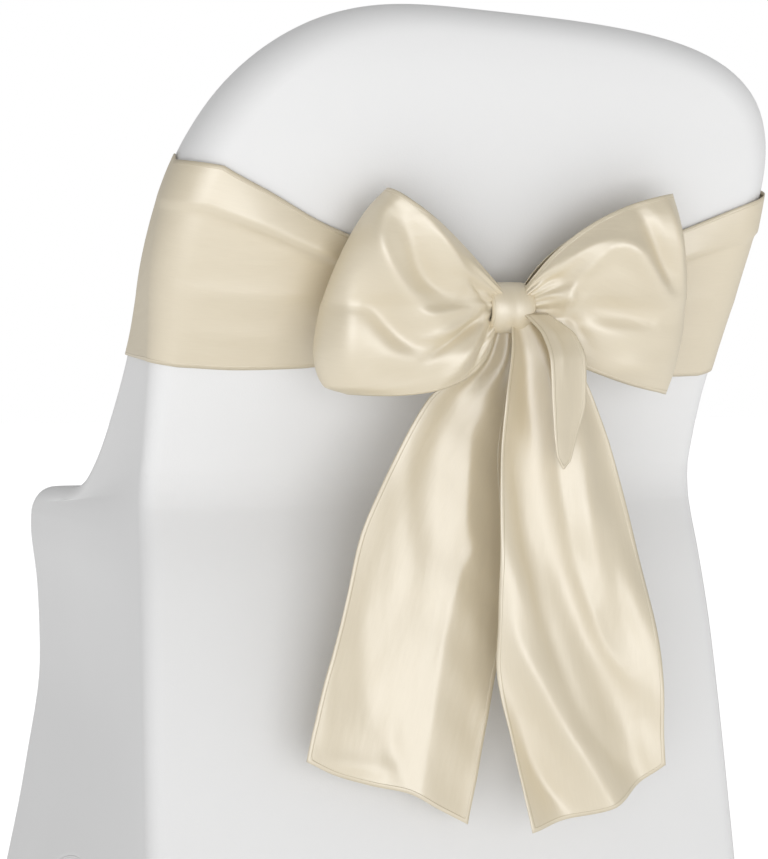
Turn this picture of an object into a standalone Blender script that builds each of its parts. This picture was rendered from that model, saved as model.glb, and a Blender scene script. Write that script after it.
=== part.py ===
"""A stretch chair cover with a satin sash tied in a bow at its back.

The cover is one hollow sheet in the shape that it takes over a banquet chair: a leaning back with a rounded top,
a web down to the seat, and a skirt that is drawn in at the waist and pulled down to four foot pockets.
Heights are above the floor, and depths are in front (+Y) or behind (-Y) of the waist of the rear panel, until
hang_from_rail moves everything so that the origin lies under the top, where the chair's top rail carries it.
"""

import math
from collections import namedtuple

import bmesh
import bpy
import numpy as np

# ---- driving dimensions of the cover, in metres ----
CLOTH = 0.002  # thickness of the stretch cloth
SPRING = 0.600  # height where the straight sides turn into the arched top
CROWN = 0.791  # height of the top
ARCH_LEFT = 2.05  # exponents of the superellipse that draws the arched top: a long round at its left,
ARCH_RIGHT = 4.1  # and a tighter one at its right, where the cloth is pulled into the corner
ARCH_FALL = 0.05  # how much lower the arch is at its right than in the middle, as a share of its height
WEB = 0.500  # height below which the front of the back turns into the seat
SKIRT = 0.365  # height below which the front hangs nearly upright
HEM_APEX = 0.165  # height of the hem half way between two feet
HEM_FOOT = 0.0453  # height of the hem over a foot pocket
HEM_SPREAD = 0.78  # share of a panel's width that the arch of the hem takes
HEM_CROWN = 2.2  # exponents of that arch: how flat it is at its top,
HEM_SPRING = 0.8  # and how steeply it starts
HEM_ZONE = 0.300  # height below which the rows of the mesh close up towards the hem

# The way down the cover, from its crown to the floor. The rear panel passes through (rear_y, rear_z) and the
# front of the back, the seat and the front of the skirt through (front_y, front_z). rear_w and front_w are half
# the widths there, corner is the radius of the edges, and waist is how far the side is drawn in between them.
Section = namedtuple("Section", "rear_z rear_y rear_w front_z front_y front_w corner waist")
SECTIONS = [
    Section(0.800, -0.118, 0.2330, 0.800, -0.063, 0.2330, 0.0260, 0.000),
    Section(0.760, -0.120, 0.2330, 0.760, -0.060, 0.2330, 0.0280, 0.000),
    Section(0.700, -0.110, 0.2265, 0.700, -0.045, 0.2265, 0.0290, 0.000),
    Section(0.650, -0.092, 0.2195, 0.650, -0.024, 0.2195, 0.0270, 0.000),
    Section(0.600, -0.067, 0.2150, 0.600, 0.008, 0.2150, 0.0220, 0.000),
    Section(0.565, -0.045, 0.2120, 0.565, 0.045, 0.2130, 0.0170, 0.000),
    Section(0.525, -0.021, 0.2105, 0.522, 0.102, 0.2110, 0.0130, 0.001),
    Section(0.495, -0.008, 0.2100, 0.488, 0.158, 0.2095, 0.0110, 0.002),
    Section(0.478, -0.002, 0.2105, 0.467, 0.205, 0.2100, 0.0110, 0.003),
    Section(0.467, -0.001, 0.2110, 0.458, 0.250, 0.2110, 0.0110, 0.003),
    Section(0.457, -0.002, 0.2115, 0.455, 0.315, 0.2130, 0.0120, 0.003),
    Section(0.447, -0.005, 0.2120, 0.451, 0.364, 0.2150, 0.0130, 0.003),
    Section(0.436, -0.009, 0.2125, 0.438, 0.389, 0.2160, 0.0140, 0.003),
    Section(0.415, -0.016, 0.2135, 0.412, 0.396, 0.2155, 0.0140, 0.004),
    Section(0.365, -0.028, 0.2155, 0.365, 0.393, 0.2105, 0.0120, 0.009),
    Section(0.300, -0.040, 0.2175, 0.300, 0.397, 0.2080, 0.0110, 0.012),
    Section(0.210, -0.056, 0.2200, 0.210, 0.415, 0.2180, 0.0120, 0.010),
    Section(0.110, -0.076, 0.2225, 0.110, 0.447, 0.2320, 0.0160, 0.005),
    Section(0.000, -0.100, 0.2250, 0.000, 0.485, 0.2460, 0.0200, 0.000),
]
SPRING_LEVEL = 4  # the section at the springing of the arch
PATH_STEP = 0.05  # share of a row over which the direction of the way is taken

# ---- the foot pockets ----
POCKET = 0.046  # width of a pocket
POCKET_HEIGHT = 0.045
POCKET_CORNER = 0.016  # radius of its upright edges
POCKET_TOE = 0.003  # radius of its lower edges
CORNER_STEPS = 4
TOE_STEPS = 2

# ---- how finely the cover is divided ----
ACROSS = 12  # columns of the rear and front panels
ARCH_ROWS = 7  # rows of the arched top
EDGE_STEPS = 3  # steps round each edge
SIDE_STEPS = 6  # steps across the side, between its two edges
WELD = 0.00002  # corners of the panels closer than this are one

# ---- driving dimensions of the sash ----
SATIN = 0.0014  # thickness of the satin
BAND_GAP = 0.0018  # from the cover's faces to the middle of the satin
EDGE_GAP = 0.0034  # the same round the cover's edges
EDGE_BLEND = 4  # exponent with which the band runs from one gap to the other
KNOT_X = 0.018  # the knot sits a little right of the middle
KNOT_Z = 0.592
KNOT_OUT = 0.035  # how far the knot's middle stands off the rear panel
KNOT_LENGTH = 0.034
KNOT_HEIGHT = 0.034
KNOT_DEPTH = 0.032
KNOT_ROUND = 0.007  # radius of its ends

# The edges of the band on each side of the knot, from the knot round to the front of the back. x is the place
# across the rear panel, and fold is the height of the flat fold under the upper edge.
BandEdge = namedtuple("BandEdge", "x low high out fold")
BAND_LEFT = [
    BandEdge(0.010, 0.582, 0.602, 0.0240, 0.000),
    BandEdge(-0.020, 0.572, 0.612, 0.0100, 0.000),
    BandEdge(-0.050, 0.563, 0.624, 0.0020, 0.002),
    BandEdge(-0.085, 0.556, 0.637, 0.0005, 0.006),
    BandEdge(-0.112, 0.554, 0.647, 0.0000, 0.010),
    BandEdge(-0.150, 0.553, 0.664, 0.0000, 0.009),
    BandEdge(-0.188, 0.557, 0.684, 0.0000, 0.003),
]
BAND_RIGHT = [
    BandEdge(0.026, 0.582, 0.602, 0.0240, 0.000),
    BandEdge(0.056, 0.572, 0.612, 0.0100, 0.000),
    BandEdge(0.086, 0.560, 0.624, 0.0020, 0.001),
    BandEdge(0.115, 0.551, 0.633, 0.0005, 0.003),
    BandEdge(0.138, 0.547, 0.642, 0.0000, 0.008),
    BandEdge(0.160, 0.545, 0.651, 0.0000, 0.008),
    BandEdge(0.195, 0.546, 0.666, 0.0000, 0.003),
]
BAND_FRONT = (0.569, 0.688)  # lower and upper edge at the front
FOLD_PEAK = 0.20  # where the flat fold is highest, as a share of the band's width from its upper edge
FOLD_DROP = 0.10  # share of the width over which it then drops back

# A loop of the bow: where each line along the satin leaves the knot, the point that draws it aside, and where
# it turns back, as (x, z) from the knot's middle. across runs from the lower edge (-1) to the upper one (1).
LoopLine = namedtuple("LoopLine", "across aside_x aside_z turn_x turn_z puff")
LOOP_LEFT = [
    LoopLine(-1.00, -0.016, -0.066, -0.110, -0.058, 0.011),
    LoopLine(-0.80, -0.028, -0.058, -0.127, -0.052, 0.017),
    LoopLine(-0.40, -0.048, -0.035, -0.1345, -0.028, 0.024),
    LoopLine(0.00, -0.060, 0.000, -0.129, 0.009, 0.026),
    LoopLine(0.40, -0.062, 0.028, -0.121, 0.038, 0.025),
    LoopLine(0.75, -0.062, 0.047, -0.110, 0.061, 0.019),
    LoopLine(1.00, -0.062, 0.052, -0.098, 0.075, 0.012),
]
LOOP_RIGHT = [
    LoopLine(-1.00, 0.053, -0.049, 0.131, -0.059, 0.011),
    LoopLine(-0.80, 0.058, -0.036, 0.1335, -0.045, 0.017),
    LoopLine(-0.40, 0.063, -0.012, 0.135, -0.016, 0.024),
    LoopLine(0.00, 0.062, 0.014, 0.131, 0.012, 0.026),
    LoopLine(0.40, 0.056, 0.038, 0.122, 0.040, 0.025),
    LoopLine(0.75, 0.044, 0.057, 0.1135, 0.062, 0.018),
    LoopLine(1.00, 0.030, 0.064, 0.1065, 0.077, 0.008),
]
LOOP_START = 0.0085  # where a loop starts inside the knot, aside from its middle
LOOP_ROOT = 0.013  # half the height of the loop's gathers where they enter the knot
LOOP_PART = 0.0045  # half the distance between its two layers there
LOOP_SET = 0.004  # how much closer to the panel the loop turns than it starts
PUFF_FRONT = 1.4  # how far the front layer swells, as a multiple of puff
PUFF_BACK = 0.9
# Below the knot a loop hangs more upright than the panel: each leaves out this share of the panel's lean.
HANG_LEFT = 0.8
HANG_RIGHT = 0.5
LOOP_TUCK = 0.32  # how far its back layer is drawn in towards its middle line
LOOP_PLEATS = 3  # half waves of the gathers beside the knot
LOOP_PLEAT = 0.0022  # and their depth

# A tail, row by row from the knot down: its two edges, how far it hangs behind (-Y) the waist, the depth of
# its folds and how far round they have turned.
TailRow = namedtuple("TailRow", "z left right y fold turn")
TAIL_FOLDS = 3  # half waves across a tail
PLEAT_FOLDS = 1  # and across the pleat beside the right one, whose left edge stands out
TAIL_LEFT = [
    TailRow(0.588, 0.010, 0.026, -0.0930, 0.0010, 0.8),
    TailRow(0.560, 0.000, 0.028, -0.0880, 0.0030, 0.8),
    TailRow(0.530, -0.036, 0.024, -0.0860, 0.0034, 0.8),
    TailRow(0.491, -0.059, 0.020, -0.0850, 0.0032, 0.9),
    TailRow(0.439, -0.083, 0.023, -0.0840, 0.0030, 1.0),
    TailRow(0.387, -0.095, 0.024, -0.0830, 0.0030, 1.1),
    TailRow(0.335, -0.110, 0.016, -0.0820, 0.0034, 1.1),
    TailRow(0.238, -0.132, -0.002, -0.0810, 0.0045, 1.0),
]
TAIL_RIGHT = [
    TailRow(0.588, 0.018, 0.034, -0.1035, 0.0010, 1.3),
    TailRow(0.560, 0.014, 0.060, -0.1110, 0.0030, 1.2),
    TailRow(0.530, 0.008, 0.077, -0.1140, 0.0050, 1.1),
    TailRow(0.461, 0.004, 0.101, -0.1140, 0.0055, 1.0),
    TailRow(0.359, 0.006, 0.124, -0.1120, 0.0060, 0.2),
    TailRow(0.300, 0.018, 0.130, -0.1090, 0.0065, -0.4),
    TailRow(0.236, 0.031, 0.139, -0.1060, 0.0070, -0.9),
]
PLEAT = [
    TailRow(0.588, 0.024, 0.042, -0.1100, 0.0006, 1.0),
    TailRow(0.573, 0.031, 0.058, -0.1240, 0.0020, 1.0),
    TailRow(0.556, 0.033, 0.063, -0.1300, 0.0040, 1.0),
    TailRow(0.530, 0.034, 0.063, -0.1310, 0.0045, 1.0),
    TailRow(0.506, 0.036, 0.056, -0.1305, 0.0035, 1.0),
    TailRow(0.484, 0.041, 0.049, -0.1290, 0.0008, 1.0),
]
# The height of each hem, from the tail's left edge to its right edge.
HEM_LEFT = (0.291, 0.279, 0.271, 0.265, 0.252, 0.239)
HEM_RIGHT = (0.238, 0.241, 0.245, 0.252, 0.263, 0.277)
HEM_PLEAT = (0.492, 0.484, 0.489)

# The main creases of the bow, in millimetres. A crease runs smoothly through four places (x, z). rise is how far
# it stands out at its middle (a trough is below zero), width is how far it reaches to the left of its run, right
# is its reach to the right as a multiple of width, and crisp is the exponent of its profile: 2 is a soft swell.
Crease = namedtuple("Crease", "rise width right crisp x0 z0 x1 z1 x2 z2 x3 z3")
CREASES_LEFT = [
    Crease(5.0, 10, 1.0, 1.8, -86, 654, -90, 632, -74, 606, -45, 584),
    Crease(4.0, 8, 1.0, 1.8, -74, 660, -52, 643, -36, 624, -10, 600),
    Crease(-5.0, 10, 0.9, 1.9, -72, 644, -62, 624, -50, 608, -28, 598),
    Crease(-5.0, 11, 1.0, 1.9, -92, 596, -76, 582, -62, 570, -43, 567),
    Crease(4.0, 11, 1.0, 2.0, -106, 604, -105, 586, -103, 566, -96, 546),
]
CREASES_RIGHT = [
    Crease(5.0, 9, 1.0, 1.8, 55, 586, 53, 600, 58, 614, 70, 628),
    Crease(5.0, 10, 1.0, 1.8, 68, 628, 88, 630, 106, 614, 135, 595),
    Crease(-5.0, 12, 1.0, 2.0, 66, 598, 82, 592, 102, 588, 125, 586),
    Crease(4.0, 11, 1.0, 1.8, 83, 546, 101, 550, 121, 552, 142, 556),
]
CREASES_TAIL_LEFT = [
    Crease(2.5, 14, 0.6, 1.6, -1, 428, -17, 396, -28, 340, -40, 262),
    Crease(1.5, 11, 1.0, 1.9, -39, 520, -49, 482, -47, 434, -50, 392),
]
CREASES_TAIL_RIGHT = [
    Crease(4.5, 14, 0.6, 1.6, 37, 556, 42, 520, 50, 462, 72, 388),
    Crease(-4.0, 12, 1.0, 1.8, 15, 510, 24, 445, 50, 352, 98, 280),
    Crease(4.0, 11, 1.0, 1.7, 14, 380, 30, 344, 56, 302, 92, 250),
]
CREASE_POINTS = 40  # places along a crease where its line is worked out
CREASE_START = 0.12  # how far into half a wave a crease starts, which leaves some of its rise at its ends
CREASE_END = 1.5  # how far a crease reaches past its ends, as a multiple of width
FRONT_FADE = 0.7  # the creases of a loop's front fade out over this much of its turn

# ---- how finely the sash is divided ----
BAND_STEPS = (8, 4, 8, 10)  # along the rear panel, round each edge, along the front, and across
LOOP_STEPS = (30, 15)  # round the loop, and across
TAIL_STEPS = (18, 16)  # down the tail, and across
PLEAT_STEPS = (6, 4)
KNOT_SIDES = 20
KNOT_ROUND_STEPS = 3


def smooth(places, values, at):
    """A curve through the given values that never swings past them (a monotone cubic)."""
    places, values = np.asarray(places, float), np.asarray(values, float)
    step = np.diff(places)
    slope = np.diff(values) / step
    tangent = np.empty_like(values)
    tangent[0], tangent[-1] = slope[0], slope[-1]
    same_way = slope[1:] * slope[:-1] > 0
    safe_sum = np.where(same_way, slope[1:] + slope[:-1], 1.0)
    tangent[1:-1] = np.where(same_way, 2 * slope[1:] * slope[:-1] / safe_sum, 0.0)
    at = np.clip(at, places[0], places[-1])
    k = np.clip(np.searchsorted(places, at) - 1, 0, len(step) - 1)
    f = (at - places[k]) / step[k]
    rise = tangent[k] * step[k] * (f**3 - 2 * f**2 + f) + tangent[k + 1] * step[k] * (f**3 - f**2)
    return values[k] * (2 * f**3 - 3 * f**2 + 1) + values[k + 1] * (3 * f**2 - 2 * f**3) + rise


LEVELS = np.arange(len(SECTIONS), dtype=float)
COLUMNS = {name: np.array([getattr(row, name) for row in SECTIONS]) for name in Section._fields}


def column(name, level):
    """One column of SECTIONS, read between its rows."""
    return smooth(LEVELS, COLUMNS[name], level)


def level_of(height):
    """The level at which the rear panel passes a height."""
    return np.interp(-height, -COLUMNS["rear_z"], LEVELS)


def path(side, level):
    """A point of the rear or front path as (y, z), with the direction from it into the chair."""
    point = np.array([column(side + "_y", level), column(side + "_z", level)])
    if side == "rear":
        return point, np.array([1.0, 0.0])
    if point[1] < SKIRT:
        return point, np.array([-1.0, 0.0])
    ahead = np.array([column(side + "_y", level + PATH_STEP), column(side + "_z", level + PATH_STEP)])
    back = np.array([column(side + "_y", level - PATH_STEP), column(side + "_z", level - PATH_STEP)])
    run = (ahead - back) / np.linalg.norm(ahead - back)
    upright = min(max((point[1] - WEB) / (SPRING - WEB), 0.0), 1.0)
    inward = np.array([run[1] * (1 - upright) - upright, -run[0] * (1 - upright)])
    return point, inward / np.linalg.norm(inward)


def hem_height(across):
    """The height of the hem at a place from -1 to 1 across a panel: an arch between two feet."""
    reach = min(abs(across) / HEM_SPREAD, 1.0)
    return HEM_FOOT + (HEM_APEX - HEM_FOOT) * (1 - reach**HEM_CROWN) ** HEM_SPRING


def hem_level(level, across):
    """Moves a level up so that the last row lies on the arched hem."""
    height = column("rear_z", level)
    if height >= HEM_ZONE:
        return level
    share = (HEM_ZONE - hem_height(across)) / HEM_ZONE
    return level_of(HEM_ZONE - (HEM_ZONE - height) * share)


def panel_point(side, u, level):
    """A point of the rear or front panel below the springing, at u from -1 to 1 across it."""
    level = hem_level(level, u)
    (y, z), _ = path(side, level)
    x = u * (column(side + "_w", level) - column("corner", level))
    return np.array([x, y, z])


def edge_point(side, hand, level, turn):
    """A point of the rounded edge between a panel and the side; turn runs from 0 on the panel to 1."""
    level = hem_level(level, 1.0)
    (y, z), inward = path(side, level)
    radius = column("corner", level)
    x = column(side + "_w", level) - radius * (1 - math.sin(turn * math.pi / 2))
    depth = radius * (1 - math.cos(turn * math.pi / 2))
    return np.array([hand * x, y + depth * inward[0], z + depth * inward[1]])


def side_point(hand, level, f):
    """A point of the side, f of the way from its rear edge to its front edge."""
    level = hem_level(level, 2 * f - 1)
    ends = []
    for side in ("rear", "front"):
        (y, z), inward = path(side, level)
        radius = column("corner", level)
        ends.append(np.array([column(side + "_w", level), y + radius * inward[0], z + radius * inward[1]]))
    point = ends[0] * (1 - f) + ends[1] * f
    point[0] -= column("waist", level) * 4 * f * (1 - f)
    point[0] *= hand
    return point


def arch_point(u, v, inset):
    """A point (x, z) of the arched top: u and v map a half square on to it, and inset draws it in from the rim."""
    across = u * math.sqrt(1 - v * v / 2)
    up = v * math.sqrt(1 - u * u / 2)
    reach = math.hypot(across, up)
    if reach > 0:
        arch = ARCH_LEFT + (ARCH_RIGHT - ARCH_LEFT) * (0.5 + 0.5 * math.sin(across / reach * math.pi / 2))
        outline = (abs(across / reach) ** arch + abs(up / reach) ** arch) ** (-1 / arch)
        stretch = 1 + reach**2 * (outline - 1)
        across, up = across * stretch, up * stretch
    z = SPRING + up * (1 - ARCH_FALL * across) * (CROWN - SPRING - inset)
    return across * (column("rear_w", level_of(z)) - inset), z


def arch_face(side, u, v):
    """A point of the rear or front face of the arched top."""
    x, z = arch_point(u, v, column("corner", SPRING_LEVEL))
    return np.array([x, column(side + "_y", level_of(z)), z])


def arch_rim(u, v, f):
    """A point of the rim of the arched top: f is 0 to 1 round the rear edge, to 2 across, to 3 round the front."""
    inner_x, inner_z = arch_point(u, v, column("corner", SPRING_LEVEL))
    outer_x, outer_z = arch_point(u, v, 0.0)
    level = level_of(inner_z)
    radius = column("corner", level)
    rear = column("rear_y", level)
    front = column("front_y", level)
    if f <= 1:
        turn, y = f, rear + radius * (1 - math.cos(f * math.pi / 2))
    elif f < 2:
        turn, y = 1, rear + radius + (front - rear - 2 * radius) * (f - 1)
    else:
        turn, y = 3 - f, front - radius * (1 - math.cos((3 - f) * math.pi / 2))
    out = math.sin(turn * math.pi / 2)
    return np.array([inner_x + (outer_x - inner_x) * out, y, inner_z + (outer_z - inner_z) * out])


def rim_section(hand, level, f):
    """The same round the side of the cover, below the springing."""
    if f <= 1:
        return edge_point("rear", hand, level, f)
    if f < 2:
        return side_point(hand, level, f - 1)
    return edge_point("front", hand, level, 3 - f)


def add_grid(mesh, rows):
    """Adds a grid of four-sided faces from rows of points, facing out."""
    verts = [[mesh.verts.new(point) for point in row] for row in rows]
    for upper, lower in zip(verts, verts[1:]):
        for k in range(len(upper) - 1):
            mesh.faces.new((upper[k], lower[k], lower[k + 1], upper[k + 1]))


def cover_grids(columns, arch_rows, levels, edge_steps, side_steps):
    """The grids of the cover: its two panels, and the strip that runs up one side, over the top and down."""
    spread = np.linspace(-1, 1, columns + 1)
    climb = np.linspace(0, 1, arch_rows + 1)
    turns = np.linspace(0, 1, edge_steps + 1)
    across = np.linspace(1, 2, side_steps + 1)
    section = [*turns, *across[1:-1], *(2 + turns)]
    panels = {}
    for side in ("rear", "front"):
        panels[side] = [[arch_face(side, u, v) for u in spread] for v in climb[:0:-1]]
        panels[side] += [[panel_point(side, u, level) for u in spread] for level in levels]
    strip = [[rim_section(-1, level, f) for f in section] for level in levels[:0:-1]]
    strip += [[arch_rim(-1, v, f) for f in section] for v in climb[:-1]]
    strip += [[arch_rim(u, 1, f) for f in section] for u in spread]
    strip += [[arch_rim(1, v, f) for f in section] for v in climb[-2::-1]]
    strip += [[rim_section(1, level, f) for f in section] for level in levels[1:]]
    return panels["rear"], [row[::-1] for row in panels["front"]], strip


def new_object(name, mesh, collection):
    """Puts a bmesh in the scene as an object of that name."""
    data = bpy.data.meshes.new(name)
    mesh.to_mesh(data)
    mesh.free()
    item = bpy.data.objects.new(name, data)
    collection.objects.link(item)
    return item


def make_cover(collection):
    mesh = bmesh.new()
    for grid in cover_grids(ACROSS, ARCH_ROWS, LEVELS[SPRING_LEVEL:], EDGE_STEPS, SIDE_STEPS):
        add_grid(mesh, grid)
    bmesh.ops.remove_doubles(mesh, verts=mesh.verts, dist=WELD)
    bmesh.ops.recalc_face_normals(mesh, faces=mesh.faces)
    cover = new_object("cover", mesh, collection)
    wall = cover.modifiers.new("cloth", "SOLIDIFY")
    wall.thickness = CLOTH
    wall.offset = -1
    wall.use_even_offset = True
    return cover


def table(rows):
    """The columns of a table of named rows."""
    return {name: np.array([getattr(row, name) for row in rows]) for name in rows[0]._fields}


def outline_x(z, hand, inset):
    """How far the back reaches to one side at a height."""
    if z <= SPRING:
        return column("rear_w", level_of(z)) - inset
    climb = np.linspace(0, 1, 41)
    outline = np.array([arch_point(hand, v, inset) for v in climb])
    return abs(np.interp(z, outline[:, 1], outline[:, 0]))


def edge_reach(z, hand):
    """Where the rounded rear edge starts at a height."""
    return outline_x(z, hand, min(column("corner", level_of(z)), column("corner", SPRING_LEVEL)))


def ring_point(hand, place, z, gap):
    """A point round one side of the back at a height, at a gap from the cover.

    place runs from 3 to 2 round the rear edge, from 2 to 1 along the side and from 1 to 0 round the front edge.
    """
    level = level_of(z)
    radius = column("corner", level)
    rear = column("rear_y", level)
    front = column("front_y", level)
    inner = edge_reach(z, hand)
    outer = outline_x(z, hand, 0)
    if place >= 2:
        angle = (3 - place) * math.pi / 2
        turn = (math.sin(angle), -math.cos(angle))
        centre = (inner, rear + radius)
    elif place >= 1:
        turn = (1.0, 0.0)
        centre = (inner, rear + radius + (front - rear - 2 * radius) * (2 - place))
    else:
        angle = place * math.pi / 2
        turn = (math.sin(angle), math.cos(angle))
        centre = (inner, front - radius)
    reach_x = outer - inner + gap
    reach_y = radius + gap
    return np.array([hand * (centre[0] + turn[0] * reach_x), centre[1] + turn[1] * reach_y, z])


def band_rear_point(edges, hand, f, across):
    """A point of the band on the rear panel, f of the way from the knot to the rounded edge."""
    x = edges["x"][0] + (edges["x"][-1] - edges["x"][0]) * f
    low = smooth(hand * edges["x"], edges["low"], hand * x)
    high = smooth(hand * edges["x"], edges["high"], hand * x)
    z = low + (high - low) * (across + 1) / 2
    near_edge = f**EDGE_BLEND
    out = BAND_GAP + (EDGE_GAP - BAND_GAP) * near_edge + smooth(hand * edges["x"], edges["out"], hand * x)
    out += smooth(hand * edges["x"], edges["fold"], hand * x) * band_fold(across)
    x += (hand * edge_reach(z, hand) - edges["x"][-1]) * near_edge
    return np.array([x, column("rear_y", level_of(z)) - out, z])


def band_fold(across):
    """The profile of the flat fold: it rises evenly from the upper edge and drops back at once."""
    down = (1 - across) / 2
    swell = min(down / FOLD_PEAK, 1.0)
    drop = 0.5 + 0.5 * math.cos(math.pi * min(max((down - FOLD_PEAK) / FOLD_DROP, 0.0), 1.0))
    return swell * drop


def band_grid(rear_steps, edge_steps, front_steps, across_steps):
    """The band from the knot round the left side, over the front and back to the knot."""
    span = np.linspace(-1, 1, across_steps + 1)
    rows = []
    for edges, hand in ((table(BAND_LEFT), -1), (table(BAND_RIGHT), 1)):
        half = []
        for k in range(rear_steps):
            half.append([band_rear_point(edges, hand, k / rear_steps, across) for across in span])
        turns = np.linspace(0, 1, edge_steps + 1)
        low, high = edges["low"][-1], edges["high"][-1]
        for place in [*(3 - turns), *(1 - turns)]:
            f = (3 - place) / 3
            edge_low = low + (BAND_FRONT[0] - low) * f
            edge_high = high + (BAND_FRONT[1] - high) * math.sin(f * math.pi / 2)
            heights = edge_low + (edge_high - edge_low) * (span + 1) / 2
            gaps = [EDGE_GAP + edges["fold"][-1] * band_fold(across) * (1 - f) ** 2 for across in span]
            half.append([ring_point(hand, place, z, gap) for z, gap in zip(heights, gaps, strict=True)])
        rows.append(half)
    left, right = rows
    heights = BAND_FRONT[0] + (BAND_FRONT[1] - BAND_FRONT[0]) * (span + 1) / 2
    front = []
    for k in range(1, front_steps):
        f = k / front_steps
        front.append([left[-1][i] * (1 - f) + right[-1][i] * f for i in range(len(heights))])
    return left + front + right[::-1]


def relief(x, z, creases):
    """How far the creases lift the satin at a place."""
    place = np.array([x, z]) * 1000
    thirds = np.array([0, 1 / 3, 2 / 3, 1])
    along = np.linspace(0, 1, CREASE_POINTS)
    lift = 0.0
    for crease in creases:
        line = np.stack([np.polyval(np.polyfit(thirds, crease[k::2], 3), along) for k in (4, 5)], axis=-1)
        run = np.gradient(line, axis=0)
        near = int(np.argmin(((place - line) ** 2).sum(axis=1)))
        run = run[near] / np.linalg.norm(run[near])
        away = place - line[near]
        beside = run[0] * away[1] - run[1] * away[0]
        past = run @ away
        if 0 < near < CREASE_POINTS - 1 or past * (along[near] - 0.5) < 0:
            past = 0.0
        width = crease.width * (crease.right if beside < 0 else 1.0)
        fade = math.sin(math.pi * (CREASE_START + (1 - 2 * CREASE_START) * along[near]))
        reach = math.hypot(beside / width, past / (CREASE_END * crease.width))
        lift += crease.rise * fade * math.exp(-(reach**crease.crisp))
    return lift / 1000


def loop_base(z, hang):
    """The depth that a loop is measured from: the panel's above the knot, and nearly the knot's below it."""
    at_knot = column("rear_y", level_of(KNOT_Z))
    lean = column("rear_y", level_of(z)) - at_knot
    return at_knot + lean * (1 - hang if z < KNOT_Z else 1)


def loop_point(lines, creases, hang, theta, across):
    """A point of a loop: theta runs from the knot along the front, round the turn (pi) and back (2 pi)."""
    aside = np.array([smooth(lines["across"], lines[name], across) for name in ("aside_x", "aside_z")])
    turn = np.array([smooth(lines["across"], lines[name], across) for name in ("turn_x", "turn_z")])
    hand = 1 if turn[0] > 0 else -1
    root = np.array([hand * LOOP_START, across * LOOP_ROOT])
    f = (1 - math.cos(theta)) / 2
    x, z = root * (1 - f) ** 2 + 2 * aside * f * (1 - f) + turn * f**2
    if theta > math.pi:
        middle = np.array([smooth(lines["across"], lines[name], 0.0) for name in ("aside_x", "aside_z")])
        tuck = 2 * LOOP_TUCK * f * (1 - f) * math.sin(theta / 2)
        x, z = x + (middle[0] - x) * tuck, z + (middle[1] - z) * tuck
    puff = smooth(lines["across"], lines["puff"], across)
    out = KNOT_OUT - LOOP_SET * f + LOOP_PART * math.cos(theta / 2)
    out += (PUFF_FRONT if theta < math.pi else PUFF_BACK) * puff * math.sin(theta) * math.sin(theta / 2)
    out += LOOP_PLEAT * (1 - f) ** 3 * math.cos(LOOP_PLEATS * math.pi * across) * math.cos(theta / 2)
    x, z = KNOT_X + x, KNOT_Z + z
    front = min(max((math.pi - theta) / FRONT_FADE, 0.0), 1.0)
    out += relief(x, z, creases) * front * front * (3 - 2 * front)
    return np.array([x, loop_base(z, hang) - out, z])


def knot_y():
    """How far behind the waist the knot's middle lies."""
    return column("rear_y", level_of(KNOT_Z)) - KNOT_OUT


def loop_grid(rows, creases, hang, round_steps, across_steps):
    lines = table(rows)
    span = np.linspace(-1, 1, across_steps + 1)
    turns = np.linspace(0, 2 * math.pi, round_steps + 1)
    return [[loop_point(lines, creases, hang, theta, across) for across in span] for theta in turns]


def tail_point(columns, hem, creases, folds, down, f):
    """A point of a tail: down from the knot (0) to the hem (1), and f from its left edge (0) to its right (1)."""
    places = np.linspace(0, 1, len(hem))
    top = columns["z"][0]
    z = top + (smooth(places, hem, f) - top) * down
    left, right, y, fold, turn = (
        smooth(-columns["z"], columns[name], -z) for name in ("left", "right", "y", "fold", "turn")
    )
    x = left + (right - left) * f
    y += fold * math.cos(math.pi * (folds * f + turn)) - relief(x, z, creases)
    return np.array([x, y, z])


def tail_grid(rows, hem, creases, folds, down_steps, across_steps):
    columns = table(rows)
    span = np.linspace(0, 1, across_steps + 1)
    fall = np.linspace(0, 1, down_steps + 1)
    return [[tail_point(columns, hem, creases, folds, down, f) for f in span] for down in fall]


def make_satin(name, grid, collection):
    """A sheet of satin through a grid of points."""
    mesh = bmesh.new()
    add_grid(mesh, grid)
    bmesh.ops.recalc_face_normals(mesh, faces=mesh.faces)
    sheet = new_object(name, mesh, collection)
    cloth = sheet.modifiers.new("cloth", "SOLIDIFY")
    cloth.thickness = SATIN
    cloth.offset = 0
    cloth.use_even_offset = True
    return sheet


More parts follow.
